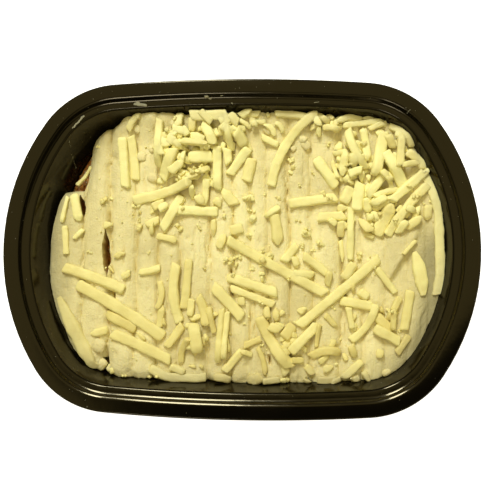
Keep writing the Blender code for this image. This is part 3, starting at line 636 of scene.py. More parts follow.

# Painted edge shade, a greyer colour: near its edge, and most by the right end's near side and by the left
# end.
EDGE_SHADE_REACH = 13.0
EDGE_SHADE_RIGHT = (56.0, 18.0, 12.0, 14.0)
EDGE_SHADE_LEFT = (-64.0, 10.0)
EDGE_SHADE_SHARES = (0.12, 1.5, 0.6)

# How far down a split it turns browner, as gravy stain with painted shade, and where a painted pool of light
# makes the mash palest, as (x, y, reaches, strength).
GRAVY_AND_SHADE_FROM = 2.5
GRAVY_AND_SHADE_REACH = 7.0
PAINTED_LIGHT_MIDDLE = (8.0, 10.0, 34.0, 24.0, 0.65)

FAR_X, FAR_Y = (np.array(side, float) for side in zip(*FAR_EDGE))
NEAR_X, NEAR_Y = (np.array(side, float) for side in zip(*NEAR_EDGE))
LEFT_END, RIGHT_END = NEAR_X[0], NEAR_X[-1]
GROOVE_X = np.array([LEFT_END] + [x for x, _ in GROOVES] + [RIGHT_END + 0.2])
GROOVE_DEPTH = np.array([0.6] + [depth for _, depth in GROOVES] + [0.6])


def far_edge(x):
    return np.interp(x, FAR_X, FAR_Y)


def near_edge(x):
    return np.interp(x, NEAR_X, NEAR_Y)


def rib_drift(x, y):
    """How far the ribs wander sideways along their length, which fades out at their ends and at the left."""
    fade = (1 - (y / HALF_WIDTH) ** 2) * np.clip((x - STRAIGHT_LEFT[0]) / STRAIGHT_LEFT[1], 0, 1)
    return RIB_DRIFT * np.sin(RIB_WAVE[0] * y + RIB_WAVE[1]) * fade


def edge_distance(x, y):
    """Roughly how far a point lies inside the edge of the mash."""
    nearest = np.minimum(x - LEFT_END, RIGHT_END - x)
    for step in np.linspace(-EDGE_ROUND, EDGE_ROUND, 11):
        for room in (far_edge(x + step) - y, y - near_edge(x + step)):
            nearest = np.minimum(nearest, np.hypot(step, np.maximum(room, 0)))
    return nearest


def groove_share(x, y):
    """Where a place lies across its rib, from 0 to 1, and how deep the grooves beside it are."""
    ragged = RIB_RAGGED[0] * soft_noise(x, y, *RIB_RAGGED[1:], 55)
    local = np.clip(x - rib_drift(x, y) - ragged, GROOVE_X[0], GROOVE_X[-1])
    rib = np.clip(np.searchsorted(GROOVE_X, local, side="right") - 1, 0, len(GROOVE_X) - 2)
    share = (local - GROOVE_X[rib]) / (GROOVE_X[rib + 1] - GROOVE_X[rib])
    return share, GROOVE_DEPTH[rib] * (1 - share) + GROOVE_DEPTH[rib + 1] * share


def eased(share):
    """A share from 0 to 1 that starts and ends gently."""
    share = np.clip(share, 0, 1)
    return share * share * (3 - 2 * share)


def mash_top(x, y):
    """The height of the mash: a tilted bed, ribs with grooves, a folded lap and a rounded edge."""
    z = MASH_CROWN + MASH_TILT * y / HALF_WIDTH
    z = z + FAR_SWELL * eased((y - FAR_SWELL_START) / SWELL_WIDTH)
    z = z + RIGHT_SWELL * eased((x - RIGHT_SWELL_START) / SWELL_WIDTH)
    fall = np.clip((LEFT_FALL_START - x) / (LEFT_FALL_START - LEFT_END), 0, 1)
    z = z - LEFT_FALL * fall**1.5
    for bulge_x, bulge_y, reach_x, reach_y, rise in BULGES:
        z = z + rise * np.exp(-(((x - bulge_x) / reach_x) ** 2) - ((y - bulge_y) / reach_y) ** 2)
    notch_x = (x - NOTCH_MIDDLE[0]) / NOTCH_REACH[0]
    notch_y = (y - NOTCH_MIDDLE[1]) / NOTCH_REACH[1]
    z = z - NOTCH_FALL * np.exp(-(notch_x**2) - notch_y**2)
    share, depth = groove_share(x, y)
    crown = np.clip(4 * share * (1 - share), 0, 1)
    sharp = np.clip(depth / SHARP_GROOVE, 0, 1)
    z = z - depth * (sharp * (1 - np.sqrt(crown)) + (1 - sharp) * (1 - crown) ** 1.5)
    ax, ay = FOLD_START
    bx, by = FOLD_END
    length = math.hypot(bx - ax, by - ay)
    along = ((x - ax) * (bx - ax) + (y - ay) * (by - ay)) / length**2
    across = ((x - ax) * (by - ay) - (y - ay) * (bx - ax)) / length
    lap = np.exp(-((along - FOLD_SPAN[0]) / FOLD_SPAN[1]) ** 4)
    over = FOLD_RISE * np.clip(1 - across / FOLD_REACH, 0, 1)
    under = -FOLD_DIP[0] * np.exp(np.minimum(across, 0) / FOLD_DIP[1])
    z = z + lap * (under + (over - under) * eased(across / FOLD_SOFT + 0.5))
    edge = np.clip(edge_distance(x, y) / EDGE_ROUND, 0, 1)
    drop = EDGE_DROP + (NOTCH_DROP - EDGE_DROP) * np.exp(-((notch_x / 2) ** 4) - (notch_y / 1.4) ** 4)
    return z - drop * (1 - np.sqrt(np.clip(1 - (1 - edge) ** 2, 0, 1)))


def line_offset(x, y, x0, y0, x1, y1):
    """How far along a straight line a place lies, from 0 to 1, and how far beside it."""
    length = math.hypot(x1 - x0, y1 - y0)
    along = ((x - x0) * (x1 - x0) + (y - y0) * (y1 - y0)) / length**2
    return along, np.abs((x - x0) * (y1 - y0) - (y - y0) * (x1 - x0)) / length


def crease_depth(x, y):
    """How deep the creases and the small pits are at a place."""
    deep = np.zeros_like(x)
    wander = sum(height * soft_noise(x, y, *cell_and_seed) for height, *cell_and_seed in CREASE_WANDER)
    for x0, y0, x1, y1, depth in CREASES:
        along, beside = line_offset(x + wander, y, x0, y0, x1, y1)
        fade = np.clip(4 * along * (1 - along), 0, 1) ** 0.5
        deep = np.maximum(deep, depth * fade * np.exp(-((beside / CREASE_WIDTH) ** 2)))
    draw = np.random.default_rng(61)
    for _ in range(PITS):
        px, py = draw.uniform(LEFT_END, RIGHT_END), draw.uniform(*PIT_ROWS)
        radius, depth, stretch = (draw.uniform(*span) for span in (PIT_RADIUS, PIT_DEPTH, PIT_STRETCH))
        near = np.hypot((x - px) / radius, (y - py) / (radius * stretch))
        deep = np.maximum(deep, depth * np.exp(-(near**2)))
    return deep


def mash_surface(x, y):
    """The top of the mash with its streaks, lumps, creases and pits."""
    z = mash_top(x, y)
    for height, cell_x, cell_y, seed in RELIEF:
        z = z + height * soft_noise(x, y, cell_x, cell_y, seed)
    return z - crease_depth(x, y)


def inside_wall(x, y, z, gap):
    """Places moved straight inwards where they would come nearer the wall than the gap."""
    distance, out_x, out_y = rim_distance(x, y)
    short = np.maximum(wall_inset(z) + gap - distance, 0)
    return x - out_x * short, y - out_y * short


def food_grain_group():
    """A mottle for soft food: broad patches, and a height of fine grain with streaks along one way."""
    group = bpy.data.node_groups.new("food grain", "ShaderNodeTree")
    inputs = [("Vector", "Vector"), ("Patch Scale", "Float"), ("Grain Scale", "Float"), ("Streak", "Vector")]
    for name, kind in inputs:
        group.interface.new_socket(name, in_out="INPUT", socket_type="NodeSocket" + kind)
    for name in ("Patches", "Height"):
        group.interface.new_socket(name, in_out="OUTPUT", socket_type="NodeSocketFloat")
    given = group.nodes.new("NodeGroupInput").outputs
    patches = noise(group, given["Vector"], given["Patch Scale"], 4.0, Roughness=0.55)
    grain = noise(group, given["Vector"], given["Grain Scale"], 3.0, Roughness=0.6)
    drawn = calculate(group, "MULTIPLY", given["Vector"], given["Streak"], kind="ShaderNodeVectorMath")
    height = calculate(group, "MULTIPLY_ADD", noise(group, drawn, 1.0, 2.0), 0.6, grain)
    add_node(group, "NodeGroupOutput", {"Patches": patches, "Height": height})
    return group


FOOD_GRAIN = food_grain_group()


def food_material(name, colours, stains_and_painted_shades, grain, finish):
    """Soft yellow food: two close shades in patches, and stain colours and painted shade colours where the
    fields of their names say so.
    """
    material, tree, shader, place = new_material(name)
    mottle = add_node(tree, "ShaderNodeGroup", node_tree=FOOD_GRAIN)
    set_inputs(tree, mottle, {"Vector": place, **grain})
    patches = mottle.outputs["Patches"]
    # The tone field is random tone, and on the mash and the strips it also carries painted light.
    tone = add_node(tree, "ShaderNodeAttribute", attribute_name="tone").outputs["Fac"]
    share = remap(tree, calculate(tree, "ADD", tone, patches), 0.4, 1.6)
    colour = mixed(tree, share, (*colours[0], 1.0), (*colours[1], 1.0))
    # These fields are real stains and painted shade, as each material lists them.
    for label, shade in stains_and_painted_shades.items():
        overlay_share = add_node(tree, "ShaderNodeAttribute", attribute_name=label).outputs["Fac"]
        colour = mixed(tree, overlay_share, colour, (*shade, 1.0))
    set_inputs(tree, shader, {
        "Base Color": colour,
        "Roughness": remap(tree, patches, 0.3, 0.7, finish["smooth"], finish["rough"]),
        "Normal": bump(tree, mottle.outputs["Height"], finish["bump"], finish["depth"]),
        "Subsurface Weight": finish["glow"],
        "Subsurface Radius": (1.0, 0.85, 0.5),
        "Subsurface Scale": finish["glow_depth"],
        "Specular IOR Level": finish["specular"],
    })
    return material


MASH_MATERIAL = food_material(
    "mashed_potato",
    ((0.73, 0.635, 0.325), (0.97, 0.875, 0.485)),
    # Painted crease shade, painted edge shade, and gravy stain with painted shade.
    {"deep": (0.70, 0.575, 0.25), "painted_edge_shade": (0.40, 0.35, 0.18), "gravy_and_shade": (0.50, 0.25, 0.045)},
    {"Patch Scale": 120.0, "Grain Scale": 1500.0, "Streak": (1300.0, 90.0, 400.0)},
    {"smooth": 0.42, "rough": 0.62, "bump": 0.65, "depth": 0.0007, "glow": 0.22, "glow_depth": 0.0012,
     "specular": 0.3},
)


def turn_outwards(target):
    """Splits faces of many corners into triangles and turns every face outwards."""
    shape = bmesh.new()
    shape.from_mesh(target.data)
    bmesh.ops.triangulate(shape, faces=[face for face in shape.faces if len(face.verts) > 4])
    bmesh.ops.recalc_face_normals(shape, faces=shape.faces)
    shape.to_mesh(target.data)
    shape.free()


def wavy_gap_cutter(x0, y0, x1, y1, width, seed):
    """A long wedge with torn sides, wider at the top, that opens a split right through the mash."""
    part = np.linspace(0, 1, GAP_STEPS + 1)
    reach = np.minimum(1, GAP_POINT[0] * np.minimum(part, 1 - part)) + GAP_POINT[1]
    points = []
    levels = ((MASH_BOTTOM - 2, GAP_FOOT_SPREAD, -GAP_LEAN), (TRAY_HEIGHT, GAP_MOUTH_SPREAD, 0))
    for z, spread, lean in levels:
        for side in (-1, 1):
            for t, half in zip(part, reach):
                torn = 1 + GAP_TEAR * float(soft_noise(t * 24 + side * 31, z, 2.6, 40, seed))
                x = x0 + (x1 - x0) * t + lean + side * half * torn * width * spread / 2
                points.append((x, y0 + (y1 - y0) * t, z))
    steps = GAP_STEPS
    count = steps + 1
    faces = []
    for k in range(steps):
        a, b, c, d = k, count + k, 2 * count + k, 3 * count + k
        faces += [(a, a + 1, b + 1, b), (c, d, d + 1, c + 1), (a, c, c + 1, a + 1), (b, b + 1, d + 1, d)]
    faces += [(0, count, 3 * count, 2 * count), (steps, 2 * count + steps, 3 * count + steps, count + steps)]
    cutter = new_object("split", points, faces=faces)
    turn_outwards(cutter)
    return cutter


def mash_bed():
    """One closed bed: a fine grid on top, sides that follow the tray's wall, and a flat underside."""
    columns = np.linspace(LEFT_END, RIGHT_END, int((RIGHT_END - LEFT_END) / MASH_CELL))
    rows = np.linspace(0, 1, int(2 * HALF_WIDTH / MASH_CELL))
    width, depth = len(columns), len(rows)
    x = np.repeat(columns[:, None], depth, axis=1)
    y = near_edge(x) + (far_edge(x) - near_edge(x)) * rows[None, :]
    z = np.maximum(mash_surface(x, y), MASH_BOTTOM + MASH_LEAST)
    x, y = inside_wall(x, y, z, MASH_GAP)
    points = [np.column_stack([x.ravel(), y.ravel(), z.ravel()])]
    index = np.arange(width * depth).reshape(width, depth)
    corners = (index[:-1, :-1], index[1:, :-1], index[1:, 1:], index[:-1, 1:])
    faces = np.column_stack([corner.ravel() for corner in corners]).tolist()
    border = list(index[:, 0]) + list(index[-1, 1:]) + list(index[-2::-1, -1]) + list(index[0, -2:0:-1])
    edge = points[0][border]
    count = len(border)
    ring = [int(k) for k in border]
    for step in range(1, SKIRT_RINGS + 1):
        level = edge[:, 2] + (MASH_BOTTOM - edge[:, 2]) * step / SKIRT_RINGS
        points.append(np.column_stack([*inside_wall(edge[:, 0], edge[:, 1], level, MASH_GAP), level]))
        start = width * depth + (step - 1) * count
        below = list(range(start, start + count))
        for k in range(count):
            after = (k + 1) % count
            faces.append((ring[k], below[k], below[after], ring[after]))
        ring = below
    faces.append(tuple(ring))
    mash = new_object("mashed_potato", np.vstack(points).tolist(), faces=faces)
    turn_outwards(mash)
    return mash


def places_of(target):
    """Where the object's points are, in millimetres."""
    place = np.empty(len(target.data.vertices) * 3)
    target.data.vertices.foreach_get("co", place)
    return place.reshape(-1, 3) / MM


def mash_shades(x, y, z):
    """How much painted crease shade, painted edge shade and gravy stain with painted shade the mash gets at
    its points, and its tone with a painted pool of light in the middle.
    """
    share, depth = groove_share(x, y)
    sunk = mash_top(x, y) - z
    # Painted crease shade: darker golden in the grooves, in the creases and where the mash is sunk.
    crease_shade = CREASE_SHADE[0] * depth / SHARP_GROOVE * (1 - np.sqrt(np.clip(4 * share * (1 - share), 0, 1))) ** 2
    crease_shade = crease_shade + CREASE_SHADE[1] * crease_depth(x, y) + np.clip(sunk * CREASE_SHADE[2], 0, CREASE_SHADE_MOST)
    # Painted edge shade: greyer near the edge, most by the right end's near side and by the left end.
    end_x, reach_x, side_y, reach_y = EDGE_SHADE_RIGHT
    right = np.clip((x - end_x) / reach_x, 0, 1) * np.clip((side_y - y) / reach_y, 0, 1)
    left = np.clip((EDGE_SHADE_LEFT[0] - x) / EDGE_SHADE_LEFT[1], 0, 1)
    all_round, by_right, by_left = EDGE_SHADE_SHARES
    by_edge = np.clip(1.1 - edge_distance(x, y) / EDGE_SHADE_REACH, 0, 1)
    painted_edge_shade = by_edge * (all_round + by_right * right + by_left * left)
    # Painted light: a pool of light, paler in the middle of the mash.
    light_pool_x, light_pool_y, reach_x, reach_y, strength = PAINTED_LIGHT_MIDDLE
    middle = np.exp(-(((x - light_pool_x) / reach_x) ** 2) - ((y - light_pool_y) / reach_y) ** 2)
    return {
        "deep": np.clip(crease_shade, 0, 1),
        "painted_edge_shade": np.clip(painted_edge_shade, 0, 1),
        # Gravy stain with painted shade: browner the deeper the mash is sunk.
        "gravy_and_shade": np.clip((sunk - GRAVY_AND_SHADE_FROM) / GRAVY_AND_SHADE_REACH, 0, 1) ** 0.7,
        # The tone carries the painted pool of light.
        "tone": 0.3 + 0.45 * soft_noise(x, y, 13, 24, 59) + strength * middle,
    }


def build_mash():
    """The bed with its splits opened and its shades laid on."""
    mash = mash_bed()
    for seed, gap in enumerate(MASH_GAPS):
        cutter = wavy_gap_cutter(*gap, 71 + seed)
        cut = mash.modifiers.new("split", "BOOLEAN")
        cut.operation = "DIFFERENCE"
        cut.solver = "MANIFOLD"
        cut.object = cutter
        keep_result(mash)
        bpy.data.objects.remove(cutter)
    mesh = mash.data
    mesh.materials.clear()
    mesh.materials.append(MASH_MATERIAL)
    mesh.shade_smooth()
    mesh.set_sharp_from_angle(angle=math.radians(SHARP_ANGLE))
    for label, values in mash_shades(*places_of(mash).T).items():
        add_field(mash, label, values)
    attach(mash, "root")
    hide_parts("mash_topping")


build_mash()

# Grated cheese.
# Mature cheddar put through a coarse drum grater and strewn on by hand: flat strips three to five
# millimetres wide, some bowed, with torn or slanting ends. They lie where they fell, over each other.
STRIP_THICKNESS = 2.1
THIN_WHEN_NARROW = (0.62, 0.1)
STRIP_SINK = 0.55
STRIP_STATIONS = 9
STRIP_STIFFNESS = 0.10
STRIP_TOUCH = 0.3
SETTLING_STEPS = 60
HIGHEST_CHEESE = 35.0
CHEESE_SHIFT = 0.9
NEAR_STRETCH = 1.012
STATION_STEP = 0.75
WAVE = (0.08, 3.6)
WEAR = 0.7
CORNER_ROUND = 0.6
WIDE = 5.1
LONG = 14.0
ROLL = 0.26
TWIST = 0.4
# How much paler the strips on the far side are made, as painted light.
PAINTED_LIGHT_FAR = 0.35
PILE_CELL = 0.5
PILE_CORNER = (-90.0, -64.0)

# The ends: their bevel, how many are drawn to a point or cut on a slant, and their shapes.
END_BEVEL = 0.35
POINTED_SHARE = 0.18
CUT_SHARE = 0.8
POINTED_REACH = (1.2, 3.0)
END_LEAN = 0.55
POINTED_TIP = 0.3
CUT_TIP = 0.8
BLUNT_TIP = 0.7

# Strips, as (x0, y0, x1, y1, width, bow), from the first laid to the last. The bow is how far the middle
# stands to the left of the straight line between the ends. The places are counted from the food's own
# middle, CHEESE_SHIFT to the right of the tray's.
STRIPS = [
    (-55, -28, -43, -33.5, 4.0, 0.0), (-21.5, 37.3, -12.5, 37.8, 5.0, 0.0),
    (-26, 43.2, -14, 42.2, 2.8, 0.3), (8, 46, 15, 42.5, 2.8, 0.0), (-5.5, 54.3, -1.5, 50.8, 4.0, 0.0),
    (-2.5, 48.0, 1.0, 42.5, 4.6, 0.0), (-6.5, 50.0, -4.5, 41.0, 2.8, 0.0),
    (21.5, -10.3, 29.5, -10.8, 3.0, 0.0), (46.0, -6.0, 42.5, -12.0, 4.0, 0.0),
    (54.0, 20.5, 64.0, 23.5, 2.6, 0.8), (61.5, 21.0, 54.0, 16.0, 3.2, 0.0),
    (49.5, 48.5, 51.0, 35.5, 3.2, 0.4), (61.9, 52.6, 69.6, 42.2, 3.0, 0.0),
    (41.5, -21.2, 54.0, -23.4, 4.0, 0.0), (53.5, -26.0, 61.0, -32.5, 3.8, 0.0),
    (-17.5, -20.0, -14.5, -31.5, 3.6, 1.0), (-18.8, -32.0, -17.2, -42.0, 5.0, 0.0),
    (-20.2, -21.0, -20.6, -28.0, 3.0, 0.0), (-32.3, -23.5, -33.5, -33.0, 2.8, 0.0),
    (-50.6, 46.0, -48.6, 24.8, 3.8, 0.0), (-47.0, 46.5, -44.8, 28.0, 3.6, 0.3),
    (-34.3, 53.0, -34.8, 34.0, 3.2, 0.0), (-45.0, 19.5, -21.5, 26.8, 4.2, -0.8),
    (-71.5, 22.7, -68.7, 11.0, 3.9, 0.0), (-74.4, 21.5, -76.3, 10.5, 1.9, 0.0),
    (-75.0, 9.0, -74.0, -3.0, 2.7, 0.0), (-70.5, 3.5, -67.0, 7.5, 2.0, 0.0),
    (-74.6, -8.6, -48.2, -17.8, 4.3, 0.4), (-68.5, -15.5, -31.5, -36.6, 4.8, 0.8),
    (-42.0, -10.5, -33.6, -8.4, 3.0, -0.5), (-33.8, -14.0, -34.4, -25.0, 2.5, 1.5),
    (-76.6, -20.8, -59.3, -51.0, 5.6, -0.4), (-62.2, -35.8, -55.8, -34.2, 3.3, 0.0),
    (-52.5, -35.4, -28.5, -45.8, 4.5, 0.3), (-36.9, -48.9, -14.4, -53.9, 3.9, -2.2),
    (-28.5, -48.2, -22.4, -50.6, 2.8, 0.0), (-26.6, -7.0, -24.9, -30.4, 4.0, -1.9),
    (-21.6, -5.0, -23.4, -25.0, 3.5, 0.2), (-23.6, -31.6, -30.0, -40.6, 3.4, 0.0),
    (-20.6, -37.0, -24.0, -46.4, 2.7, -1.3), (-13.0, -24.5, -10.6, -34.5, 2.6, 0.0),
    (-7.6, -25.0, -9.0, -46.0, 2.6, 0.0), (-5.3, -26.0, -6.6, -44.5, 2.4, 0.0),
    (-11.3, -16.0, 0.8, -28.4, 4.4, 0.3), (0.8, -41.5, -6.6, -50.0, 3.2, 0.0),
    (8.6, -36.6, 1.5, -39.6, 2.8, 0.0), (8.6, -51.2, 2.9, -56.5, 4.4, 0.0),
    (-21.6, 54.4, -6.0, 54.4, 4.4, 0.0), (-25.9, 58.0, -26.5, 49.5, 3.6, 0.0),
    (-16.5, 51.0, -12.0, 42.4, 4.0, 0.8), (-10.4, 42.0, -10.0, 24.5, 3.7, 0.0),
    (-28.0, 40.2, -32.8, 28.2, 4.4, 0.0), (-24.0, 35.2, -29.2, 30.8, 4.0, 0.0),
    (2.6, 41.2, -5.3, 30.4, 4.0, 0.0), (4.0, 37.0, 2.0, 27.4, 4.6, 0.0),
    (-8.4, 24.2, -2.6, 17.6, 4.1, 0.0), (-14.6, 28.4, -15.5, 17.6, 3.1, 0.0),
    (-26.4, 15.4, -9.7, 14.8, 4.0, 0.0), (-25.2, 21.6, -32.9, 7.6, 4.0, 0.4),
    (-35.0, 4.6, -27.0, 2.6, 2.8, 0.2), (-6.6, 5.6, -9.4, -0.2, 3.5, 0.0),
    (-4.5, 7.0, 0.6, 8.0, 4.0, 0.0), (13.2, 14.0, 14.9, 1.0, 4.4, 0.5),
    (10.4, 13.0, 15.6, 16.6, 2.4, 0.0), (22.8, 1.2, 17.4, -5.6, 3.6, 0.0),
    (-5.5, -12.0, 15.0, -18.4, 3.8, 0.0), (-4.0, -16.6, 13.6, -23.0, 3.0, 0.0),
    (-5.6, 3.0, 34.8, -18.4, 4.0, -0.3), (25.4, -3.2, 35.8, -11.0, 3.5, 0.4),
    (36.0, -9.6, 35.2, -15.0, 2.8, 0.0), (31.4, 12.4, 42.4, 13.4, 3.9, 0.0),
    (20.0, 18.2, 38.7, 20.7, 4.0, 0.0), (13.6, 55.2, 27.0, 53.6, 3.3, 0.7),
    (30.4, 37.0, 38.6, 25.4, 4.2, 0.0), (42.6, 39.6, 41.0, 29.4, 3.6, 0.0),
    (44.6, 25.0, 41.6, 18.4, 4.3, 0.0), (44.6, 16.4, 44.6, -4.6, 2.9, 0.0),
    (48.7, 26.8, 47.0, 15.2, 4.6, 0.0), (70.0, -1.4, 73.2, -18.7, 5.2, 0.6),
    (58.0, 47.4, 54.6, 30.4, 4.4, 0.0), (43.4, 48.4, 50.6, 32.8, 3.4, -1.5),
    (64.7, 46.2, 64.0, 33.0, 3.2, 0.0), (59.5, 46.0, 61.8, 41.2, 3.2, 0.0),
    (67.4, 39.2, 75.4, 33.4, 3.6, 0.0), (41.4, 50.3, 57.8, 52.4, 2.5, 0.0),
    (59.0, 31.4, 51.8, 21.8, 3.6, 0.0), (61.0, 17.6, 54.8, 5.2, 5.0, 0.0),
    (58.4, 38.8, 66.0, 25.2, 4.4, 0.0), (75.4, 32.2, 60.6, 18.8, 3.7, 0.0),
    (75.6, 25.8, 59.4, 5.4, 3.6, -1.0), (66.6, 8.0, 72.6, 12.6, 3.6, 0.0),
    (75.8, 17.6, 75.0, 11.4, 3.4, 0.0), (78.6, 34.2, 80.1, -18.8, 3.8, 0.5),
    (55.0, -8.0, 62.6, -17.8, 2.7, 0.0), (8.0, -28.0, 20.6, -47.6, 4.5, -1.2),
    (21.6, -31.0, 17.6, -36.2, 4.5, 0.0), (31.6, -30.6, 20.6, -41.6, 4.0, 0.0),
    (56.0, -4.0, 23.7, -31.4, 3.9, 0.3), (34.4, -26.6, 38.6, -31.2, 2.5, 0.0),
    (29.0, -43.4, 40.0, -41.6, 3.5, 1.5), (31.5, -53.0, 39.0, -53.2, 3.4, 0.0),
    (54.6, -22.6, 44.6, -36.8, 3.2, 1.9), (54.0, -31.8, 64.2, -37.0, 4.0, 0.0),
    (64.2, -19.4, 61.2, -25.2, 2.9, 0.0), (68.4, -16.8, 65.8, -32.4, 3.7, 0.0),
    (67.8, -34.4, 62.8, -41.6, 2.9, 0.0), (49.0, -45.0, 42.2, -51.6, 3.2, 0.0),
    (30.9, 56.0, 12.2, 25.5, 4.0, -4.0),
]

# The last short pieces, like the strips but in the tray's own places.
SHORT_PIECES = [
    (-46.8, 48.8, -41.7, 55.4, 2.8, 1.0), (-29.6, 45.4, -25.6, 41.6, 4.2, 0.0),
    (-33.2, 15.2, -30.4, 17.6, 3.0, 0.0), (-57.0, 9.0, -53.2, 9.6, 3.0, 0.0),
    (-51.4, -4.4, -47.4, -2.8, 3.0, 0.6), (-48.4, -12.4, -45.2, -10.8, 2.8, 0.0),
    (-54.6, -8.0, -52.4, -10.6, 1.1, 0.0), (-42.1, -35.0, -38.1, -38.0, 1.3, 0.0),
    (-30.6, -29.2, -30.2, -32.0, 1.6, 0.0), (-23.4, 49.4, -21.6, 45.8, 3.0, 0.0),
    (-20.4, 46.2, -14.6, 44.2, 3.4, 0.0), (-16.4, 56.0, -11.8, 51.6, 3.2, 0.0),
    (-19.6, 25.0, -19.6, 20.0, 2.4, 0.0), (-18.6, 20.4, -14.8, 19.4, 4.0, 0.0),
    (-10.4, 19.6, -7.4, 18.2, 3.4, 0.0), (-5.4, 41.0, -4.6, 34.6, 3.4, 0.0),
    (-10.4, 11.5, -10.6, 5.0, 2.4, 0.0), (1.2, 20.4, 6.0, 20.6, 2.8, 0.0),
    (3.0, 56.0, 8.0, 57.2, 3.4, 0.4), (10.6, 57.6, 11.8, 54.4, 1.8, 0.0),
    (0.0, 54.4, 4.4, 56.6, 3.4, 0.0), (9.6, 50.6, 13.8, 46.4, 2.2, 1.6),
    (14.6, 51.4, 17.4, 47.6, 2.0, 1.2), (32.5, 49.8, 32.3, 46.2, 2.0, 0.0),
    (33.4, 53.6, 36.4, 51.4, 2.4, 0.0), (35.6, 55.2, 38.4, 53.0, 2.0, 0.0),
    (34.2, 49.4, 40.2, 48.4, 3.0, 0.4), (39.8, 51.6, 50.4, 54.8, 2.8, 0.8),
    (50.6, 54.4, 58.0, 54.8, 2.4, 0.0), (60.0, 55.4, 60.4, 51.4, 2.6, 0.0),
    (53.0, 48.8, 58.6, 51.2, 2.4, 0.0), (45.8, 38.0, 46.8, 32.8, 3.4, 0.0),
    (44.6, 29.6, 50.0, 31.6, 3.4, 0.4), (38.0, 36.0, 40.2, 28.6, 1.8, 0.0),
    (44.2, 27.2, 46.6, 26.6, 1.8, 0.0), (57.6, 31.0, 59.8, 28.4, 2.8, 0.0),
    (60.0, 28.6, 61.6, 26.0, 2.6, 0.0), (65.6, 33.2, 72.2, 34.6, 2.4, 0.0),
    (52.2, 20.4, 52.4, 14.8, 3.2, 0.0), (54.6, 17.8, 59.4, 20.2, 3.2, 0.0),
    (48.9, 12.0, 53.4, 6.8, 3.6, 0.0), (52.4, 12.4, 54.6, 12.8, 2.4, 0.0),
    (66.8, 10.4, 64.6, 6.2, 3.4, 0.0), (67.2, 16.0, 70.6, 15.2, 2.8, 0.0),
    (41.4, 11.0, 41.6, 5.0, 3.2, 0.0), (41.6, 3.4, 42.4, -5.6, 1.7, 0.0),
    (37.0, 11.6, 39.6, 9.4, 2.4, 0.0), (26.0, 6.6, 28.4, 5.0, 3.0, 0.0),
    (32.2, 3.2, 33.6, 1.0, 2.0, 0.0), (22.6, -3.6, 24.0, -7.4, 2.8, 0.0),
    (1.0, -20.4, 1.4, -23.6, 3.0, 0.0), (0.9, -42.0, 5.6, -43.8, 2.2, 0.0),
    (11.2, -25.0, 12.0, -28.4, 3.0, 0.0), (15.2, -24.6, 15.6, -30.0, 3.0, 0.0),
    (12.8, -32.0, 16.8, -33.4, 3.8, 0.0), (24.0, -25.4, 27.2, -25.8, 3.2, 0.0),
    (32.8, -31.0, 31.7, -40.0, 1.8, 0.0), (8.0, -40.6, 11.0, -51.6, 2.2, 0.9),
    (22.0, -45.4, 26.4, -45.8, 2.8, 0.0), (27.4, -47.6, 30.6, -51.2, 3.0, 0.0),
    (28.0, -53.0, 28.4, -55.8, 2.8, 0.0), (10.2, -54.2, 17.0, -53.4, 2.6, 0.0),
    (-9.6, -53.0, -3.4, -54.2, 3.2, 0.6), (38.0, -54.8, 42.0, -55.2, 2.4, 0.0),
    (45.6, -52.2, 48.4, -54.4, 3.0, 0.0), (44.6, -24.0, 46.0, -32.4, 2.6, 0.0),
    (49.0, -17.4, 52.6, -20.2, 3.6, 0.0), (46.4, -15.0, 46.6, -18.6, 1.6, 0.0),
    (57.4, -24.4, 59.2, -26.2, 2.0, 0.0), (62.5, -24.5, 62.2, -32.5, 2.4, 0.0),
    (45.4, -39.4, 47.0, -43.6, 3.2, 0.0), (50.5, -49.5, 53.0, -53.6, 2.6, 0.0),
    (66.4, -2.6, 71.4, 3.2, 1.6, 0.0), (-65.2, 35.6, -71.0, 27.2, 1.6, 0.3),
    (-20.0, -48.4, -17.2, -48.8, 1.6, 0.0), (-15.6, -48.2, -14.2, -49.2, 1.5, 0.0),
]

# Heaps of short bits under the strips, as (x, y, reach along X, reach along Y, how many), and the ranges
# of the bits' half lengths, widths and bows.
HEAPS = [
    (-22.0, 38.0, 12.0, 10.5, 66), (-12.0, 47.0, 8.0, 6.0, 14), (54.0, 38.0, 14.0, 10.0, 46),
    (62.0, 19.0, 11.0, 8.0, 14), (49.0, 11.0, 7.0, 7.0, 8), (-12.0, -33.0, 9.0, 13.0, 12),
    (14.0, -31.0, 9.0, 11.0, 7), (31.0, -46.0, 13.0, 7.0, 8), (54.0, -33.0, 9.0, 11.0, 6),
    (-30.0, 12.0, 8.0, 8.0, 5), (0.0, 48.0, 8.0, 6.0, 9), (36.0, 51.5, 7.0, 3.0, 6),
]
BIT_HALF_LENGTH = (1.0, 3.0)
BIT_WIDTH = (1.7, 3.6)
BIT_BOW = (-0.4, 0.4)


